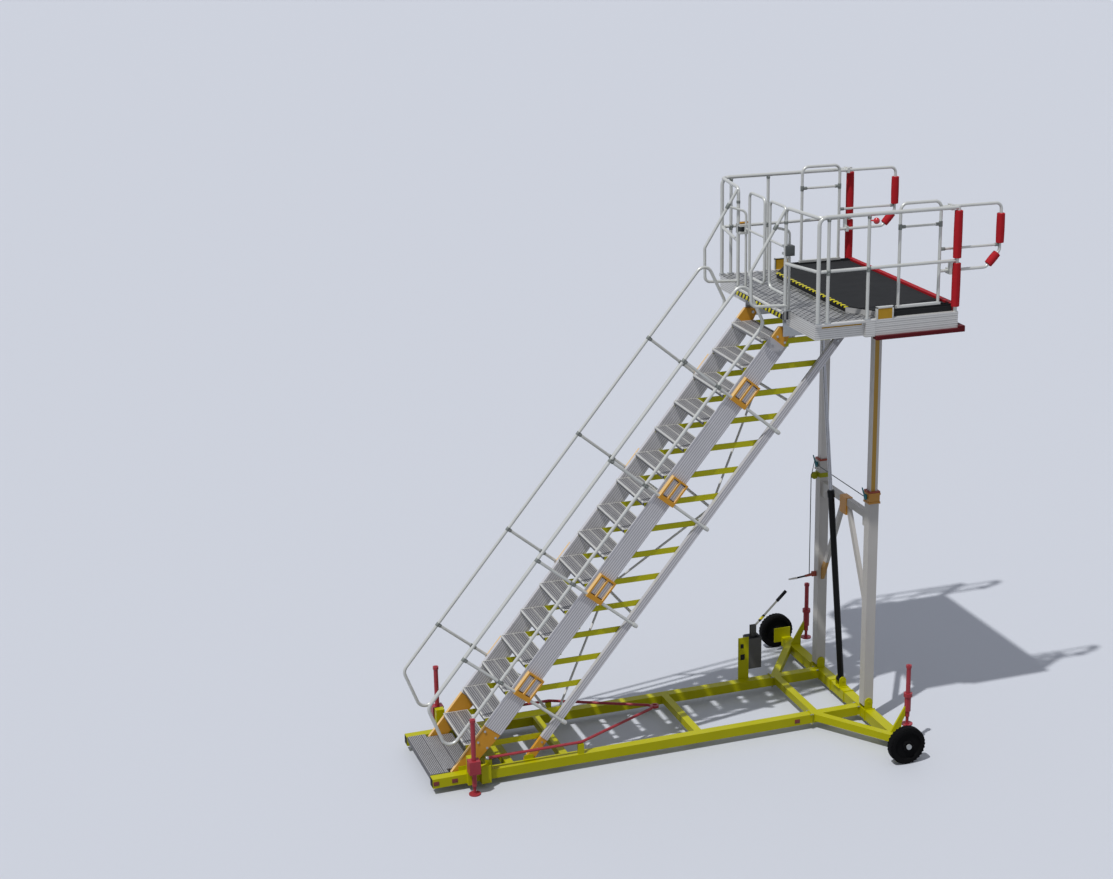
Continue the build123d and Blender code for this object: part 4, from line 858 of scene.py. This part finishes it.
# strap round the left post, with the release cable's pulley
strap = {"drop": 0.165, "inner": 0.0552, "outer": 0.0600, "half": 0.026}
pulley = {"front": 0.098, "drop": 0.010, "half": 0.017, "radius": 0.040}
strapZ = collarTop - strap["drop"]
strapLow, strapHigh = strapZ - strap["half"], strapZ + strap["half"]
bm = bmesh.new()
for reach in (-1, 1):
    y = span(reach, strap["inner"], strap["outer"], postY)
    addBlock(bm, (postMiddle - strap["outer"], y[0], strapLow),
             (postMiddle + strap["outer"], y[1], strapHigh), fineEdge)
    x = span(reach, strap["inner"], strap["outer"], postMiddle)
    addBlock(bm, (x[0], postY - strap["inner"], strapLow),
             (x[1], postY + strap["inner"], strapHigh), fineEdge)
pulleyX, pulleyZ = postMiddle - pulley["front"], strapZ - pulley["drop"]
addRod(bm, (pulleyX, postY - pulley["half"], pulleyZ), (pulleyX, postY + pulley["half"], pulleyZ),
       pulley["radius"], fullEdge, segments=24)
finishPiece(bm, "cablePulley", "posts", "limePaint")

# release cables: across between the posts, down to the lever, and up from the pulley
cable = {"radius": 0.005, "half": 0.578, "x": -0.079, "drop": 0.050, "end": 1.292, "thin": 0.004,
         "rise": ((-0.134, -0.165), (-0.100, -0.010))}  # ahead of the post, and from the collar's top
cableX, cableZ = postMiddle + cable["x"], collarTop - cable["drop"]
downX = pulleyX - pulley["radius"]
bm = bmesh.new()
addRod(bm, (cableX, -cable["half"], cableZ), (cableX, cable["half"], cableZ), cable["radius"], segments=12)
addRod(bm, (downX, postY, pulleyZ), (downX, postY, cable["end"]), cable["radius"], segments=12)
start, end = ((postMiddle + x, postY, collarTop + z) for x, z in cable["rise"])
addRod(bm, start, end, cable["thin"], segments=12)
finishPiece(bm, "releaseCables", "posts", "blockIron")

# release lever on the left post: a block, and a handle in three colours; x counts from the post's middle
release = {"x": (-0.110, -0.0552), "half": 0.018, "z": (1.262, 1.318),
           "handle": ((-0.100, 1.286), (-0.190, 1.276)), "handleRadii": (0.017, 0.013),
           "arm": ((-0.189, 1.276), (-0.290, 1.268)), "armRadius": 0.010,
           "tip": ((-0.289, 1.268), (-0.390, 1.264)), "tipRadii": (0.013, 0.008)}
handle, arm, tip = ([(postMiddle + x, postY, z) for x, z in release[part]]
                    for part in ("handle", "arm", "tip"))
bm = bmesh.new()
addBlock(bm, (postMiddle + release["x"][0], postY - release["half"], release["z"][0]),
         (postMiddle + release["x"][1], postY + release["half"], release["z"][1]), fullEdge)
addRod(bm, *handle, release["handleRadii"][0], softEdge, segments=16, endRadius=release["handleRadii"][1])
finishPiece(bm, "releaseLever", "posts", "brickRedPaint")
rodPiece("releaseLeverArm", "posts", "blackTrim", "black_enamel", *arm, release["armRadius"], smallEdge,
         segments=16)
rodPiece("releaseLeverTip", "posts", "whitePaint", "pale_enamel", *tip, release["tipRadii"][0], broadEdge,
         segments=16, endRadius=release["tipRadii"][1])

# gland ring on the ram's barrel, clear of the rod
gland = {"from": 2.150, "to": 2.222, "radius": 0.041}
ramFoot = Vector(joints["ram_lean"]["pos_m"])
ramWay = Vector(joints["ram_stroke"]["axis"]).normalized()
rodPiece("ramGland", "ram", "blackGlossPaint", "black_enamel", ramFoot + ramWay * gland["from"],
         ramFoot + ramWay * gland["to"], gland["radius"], broadEdge, segments=28)
print("posts dressed")

# chassis: end plugs, reflectors, flange bolts and the tow bar's pins; x counts from the rails' front
plug = {"x": (-0.003, 0.001), "y": (0.482, 0.566), "z": (0.078, 0.162)}
reflector = {"places": (0.035, 0.227, 4.000), "half": 0.030, "y": (0.5735, 0.578), "z": (0.098, 0.142)}
flange = {"middleY": 0.524, "aside": 0.054, "levels": (0.068, 0.172), "front": 4.166,
          "rearInset": 0.0205, "span": (-0.012, 0.020), "radius": 0.008}
towPin = {"x": 0.590, "y": 0.545, "z": 0.295, "length": 0.030, "radius": 0.021}
railLow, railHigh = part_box("chassis_rails")
plugBm, markBm, boltBm, pinBm = bmesh.new(), bmesh.new(), bmesh.new(), bmesh.new()
for side in sides.values():
    y, z = span(side, *plug["y"]), plug["z"]
    addBlock(plugBm, (railLow.x + plug["x"][0], y[0], z[0]),
             (railLow.x + plug["x"][1], y[1], z[1]), fineEdge)
    y, z = span(side, *reflector["y"]), reflector["z"]
    for x in reflector["places"]:
        addBlock(markBm, (railLow.x + x - reflector["half"], y[0], z[0]),
                 (railLow.x + x + reflector["half"], y[1], z[1]), slimEdge)
    for aside in (-flange["aside"], flange["aside"]):
        boltY = side * flange["middleY"] + aside
        for z in flange["levels"]:
            for x in (railLow.x + flange["front"], railHigh.x - flange["rearInset"]):
                start, end = ((x + reach, boltY, z) for reach in flange["span"])
                addRod(boltBm, start, end, flange["radius"], segments=6)
    pinX, pinY = railLow.x + towPin["x"], side * towPin["y"]
    addRod(pinBm, (pinX, pinY, towPin["z"]), (pinX - towPin["length"], pinY, towPin["z"]), towPin["radius"],
           broadEdge)
finishPiece(plugBm, "railEndPlugs", "chassis", "gripRubber")
finishPiece(markBm, "railReflectors", "chassis", "redReflector")
finishPiece(boltBm, "flangeBolts", "chassis", "zincPlate")
finishPiece(pinBm, "towBarPins", "chassis", "zincPlate")

# hand pump: grip with ridges, banded lever, clevis, lid with its filler cap, and marks on the back plate
pumpTop = 0.660
lever = {"foot": (0.205, 0.073, 0.070), "reach": (0.395, 0.0, 0.380), "grip": (-0.150, 0.004),
         "gripRadius": 0.0185, "ridges": 5, "firstRidge": 0.020, "ridgePitch": 0.026, "ridge": 0.008,
         "ridgeRadius": 0.0198, "band": (0.100, 0.190), "bandRadius": 0.0150}
leverFoot = Vector((pumpLow.x, pumpLow.y, pumpTop)) + Vector(lever["foot"])
leverTip = leverFoot + Vector(lever["reach"])
leverWay = (leverTip - leverFoot).normalized()
bm = bmesh.new()
gripStart, gripEnd = (leverTip + leverWay * distance for distance in lever["grip"])
addRod(bm, gripStart, gripEnd, lever["gripRadius"], broadEdge)
for index in range(lever["ridges"]):
    start = leverTip - leverWay * (lever["firstRidge"] + index * lever["ridgePitch"])
    addRod(bm, start, start - leverWay * lever["ridge"], lever["ridgeRadius"], fineEdge)
finishPiece(bm, "pumpGrip", "chassis", "gripRubber")
bandStart, bandEnd = (leverFoot + leverWay * distance for distance in lever["band"])
rodPiece("pumpLeverBand", "chassis", "hazardTape", "yellow_enamel", bandStart, bandEnd, lever["bandRadius"],
         smallEdge)
clevis = {"half": 0.033, "y": (0.0112, 0.0238), "z": (-0.028, 0.104), "pinHalf": 0.028, "pin": 0.012}
bm = bmesh.new()
for side in sides.values():
    y = span(side, *clevis["y"], leverFoot.y)
    addBlock(bm, (leverFoot.x - clevis["half"], y[0], pumpTop + clevis["z"][0]),
             (leverFoot.x + clevis["half"], y[1], pumpTop + clevis["z"][1]), broadEdge)
addRod(bm, leverFoot - acrossY * clevis["pinHalf"], leverFoot + acrossY * clevis["pinHalf"], clevis["pin"],
       smallEdge, segments=16)
finishPiece(bm, "pumpClevis", "chassis", "tankPaint")
lid = {"x": (0.127, 0.284), "y": (0.010, 0.147), "drop": 0.038, "thickness": 0.012,
       "filler": (0.246, 0.039), "fillerZ": (0.008, 0.028), "fillerRadius": 0.016}
lidZ = pumpTop - lid["drop"]
bm = bmesh.new()
addBlock(bm, (pumpLow.x + lid["x"][0], pumpLow.y + lid["y"][0], lidZ),
         (pumpLow.x + lid["x"][1], pumpLow.y + lid["y"][1], lidZ + lid["thickness"]), softEdge)
fillerX, fillerY = pumpLow.x + lid["filler"][0], pumpLow.y + lid["filler"][1]
start, end = ((fillerX, fillerY, lidZ + height) for height in lid["fillerZ"])
addRod(bm, start, end, lid["fillerRadius"], softEdge)
finishPiece(bm, "pumpTankLid", "chassis", "blackTrim")
plateMark = {"x": 0.026, "y": (-0.003, 0.001), "sizes": ((0.395, 0.460, 0.050), (0.535, 0.585, 0.036))}
bm = bmesh.new()
for bottom, top, width in plateMark["sizes"]:
    x = pumpLow.x + plateMark["x"]
    addBlock(bm, (x, pumpLow.y + plateMark["y"][0], bottom),
             (x + width, pumpLow.y + plateMark["y"][1], top), fineEdge)
finishPiece(bm, "pumpPlateMarks", "chassis", "blackTrim")

# jacks: threaded spindles and crank bosses
thread = {"turns": 7, "from": 0.018, "pitch": 0.0095, "height": 0.005, "radius": 0.0168}
boss = {"top": (-0.0005, 0.006), "topRadius": 0.014, "foot": (0.0125, 0.019), "footRadius": 0.026}
for end in ("front", "rear"):
    for sideName in sides:
        corner = end + "_" + sideName.lower()
        low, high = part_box("jack_leg_" + corner)
        x, y = (low.x + high.x) / 2, (low.y + high.y) / 2
        bm = bmesh.new()
        for index in range(thread["turns"]):
            z = low.z + thread["from"] + index * thread["pitch"]
            addRod(bm, (x, y, z), (x, y, z + thread["height"]), thread["radius"])
        for level, heights, radius in ((high.z, boss["top"], boss["topRadius"]),
                                       (low.z, boss["foot"], boss["footRadius"])):
            addRod(bm, (x, y, level + heights[0]), (x, y, level + heights[1]), radius, smallEdge)
        finishPiece(bm, "jackSpindle" + end.capitalize() + sideName, "jack_" + corner, "crimsonPowderCoat")

# wheels: shoulder lugs and hub nuts
tyre = {"lugs": 30, "inner": 0.029, "outer": 0.0035, "y": (0.029, 0.0480), "half": 0.0095}
hub = {"nuts": 5, "circle": 0.052, "face": 0.0305, "height": 0.0225, "radius": 0.0065}
for sideName, side in sides.items():
    node = "wheel_" + sideName.lower()
    low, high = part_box(node)
    centre = (low + high) / 2
    radius = (high.z - low.z) / 2
    bm = bmesh.new()
    for index in range(tyre["lugs"]):
        turn = Matrix.Rotation(math.tau * index / tyre["lugs"], 3, "Y")
        for face in (-1, 1):
            before = set(bm.verts)
            y = span(face, *tyre["y"])
            addBlock(bm, (radius - tyre["inner"], y[0], -tyre["half"]),
                     (radius - tyre["outer"], y[1], tyre["half"]), smallEdge)
            fresh = [vert for vert in bm.verts if vert not in before]
            bmesh.ops.rotate(bm, verts=fresh, cent=(0, 0, 0), matrix=turn)
    bmesh.ops.translate(bm, verts=bm.verts, vec=centre)
    finishPiece(bm, "tyreLugs" + sideName, node, "tyreRubber")
    faceY = centre.y + side * hub["face"]
    bm = bmesh.new()
    for index in range(hub["nuts"]):
        angle = math.tau * index / hub["nuts"]
        x, z = centre.x + hub["circle"] * math.cos(angle), centre.z + hub["circle"] * math.sin(angle)
        addRod(bm, (x, faceY, z), (x, faceY + side * hub["height"], z), hub["radius"], segments=6)
    finishPiece(bm, "hubNuts" + sideName, node, "blackGlossPaint")
print("chassis dressed")

# floor, light and camera
def seenShare(tree):
    # 1 for rays that show the surroundings: seen directly, mirrored or through something clear
    rays = addNode(tree, "ShaderNodeLightPath")
    seen = addNode(tree, "ShaderNodeMath", {"operation": "MAXIMUM"},
                   {0: rays.outputs["Is Camera Ray"], 1: rays.outputs["Is Glossy Ray"]})
    return addNode(tree, "ShaderNodeMath", {"operation": "MAXIMUM"},
                   {0: seen.outputs[0], 1: rays.outputs["Is Transmission Ray"]}).outputs[0]


floorLook = {"colour": "#cfd2d9", "bounce": "#8b8e94", "roughness": 0.6, "specular": 0.2, "half": 120.0}
floorMesh = bmesh.new()
bmesh.ops.create_grid(floorMesh, x_segments=1, y_segments=1, size=floorLook["half"])
mesh = bpy.data.meshes.new("floor")
floorMesh.to_mesh(mesh)
floorMesh.free()
floor = bpy.data.objects.new("floor", mesh)
bpy.context.scene.collection.objects.link(floor)
floorMaterial = bpy.data.materials.new("palePaintedFloor")
floorMaterial.use_nodes = True
floorTree = floorMaterial.node_tree
floorShader = floorTree.nodes["Principled BSDF"]
floorShader.inputs["Roughness"].default_value = floorLook["roughness"]
floorShader.inputs["Specular IOR Level"].default_value = floorLook["specular"]
floorTint = addNode(floorTree, "ShaderNodeMix", {"data_type": "RGBA", 6: linearColour(floorLook["bounce"]),
                                                 7: linearColour(floorLook["colour"])},
                    {0: seenShare(floorTree)})  # pale where it is seen, a dimmer reflector of light
floorTree.links.new(floorTint.outputs[2], floorShader.inputs["Base Color"])
mesh.materials.append(floorMaterial)

light = {"sunStrength": 2.3, "sunAngle": 1.0, "fall": (0.4266, 0.2477, -1.0), "skyStrength": 0.42,
         "sky": "#e3e8f4", "backdrop": "#cbcfda"}
sun = bpy.data.lights.new("sun", "SUN")
sun.energy = light["sunStrength"]
sun.angle = math.radians(light["sunAngle"])
sunObject = bpy.data.objects.new("sun", sun)
sunObject.rotation_mode = "QUATERNION"
sunObject.rotation_quaternion = Vector(light["fall"]).to_track_quat("-Z", "Y")
bpy.context.scene.collection.objects.link(sunObject)
world = bpy.data.worlds.new("softSky")
bpy.context.scene.world = world
world.use_nodes = True
background = world.node_tree.nodes["Background"]
skyShare = seenShare(world.node_tree)  # as pale as the floor where it is seen, a softer light elsewhere
skyTint = addNode(world.node_tree, "ShaderNodeMix", {"data_type": "RGBA", 6: linearColour(light["sky"]),
                                                     7: linearColour(light["backdrop"])}, {0: skyShare})
skyLevel = addNode(world.node_tree, "ShaderNodeMix", {2: light["skyStrength"], 3: 1.0}, {0: skyShare})
world.node_tree.links.new(skyTint.outputs[2], background.inputs["Color"])
world.node_tree.links.new(skyLevel.outputs[0], background.inputs["Strength"])

view = {"place": (-7.3184, -18.473, 9.362), "tilt": 72.155, "turn": -21.652, "lens": 65.377,
        "shift": (-0.118, 0.0218), "sensor": 36.0, "farthest": 400.0}
cameraData = bpy.data.cameras.new("camera")
cameraData.lens = view["lens"]
cameraData.sensor_width = view["sensor"]
cameraData.shift_x, cameraData.shift_y = view["shift"]
cameraData.clip_end = view["farthest"]
camera = bpy.data.objects.new("camera", cameraData)
camera.location = view["place"]
camera.rotation_euler = (math.radians(view["tilt"]), 0.0, math.radians(view["turn"]))
bpy.context.scene.collection.objects.link(camera)
bpy.context.scene.camera = camera
bpy.context.scene.view_settings.view_transform = "Standard"
print("light and camera set")
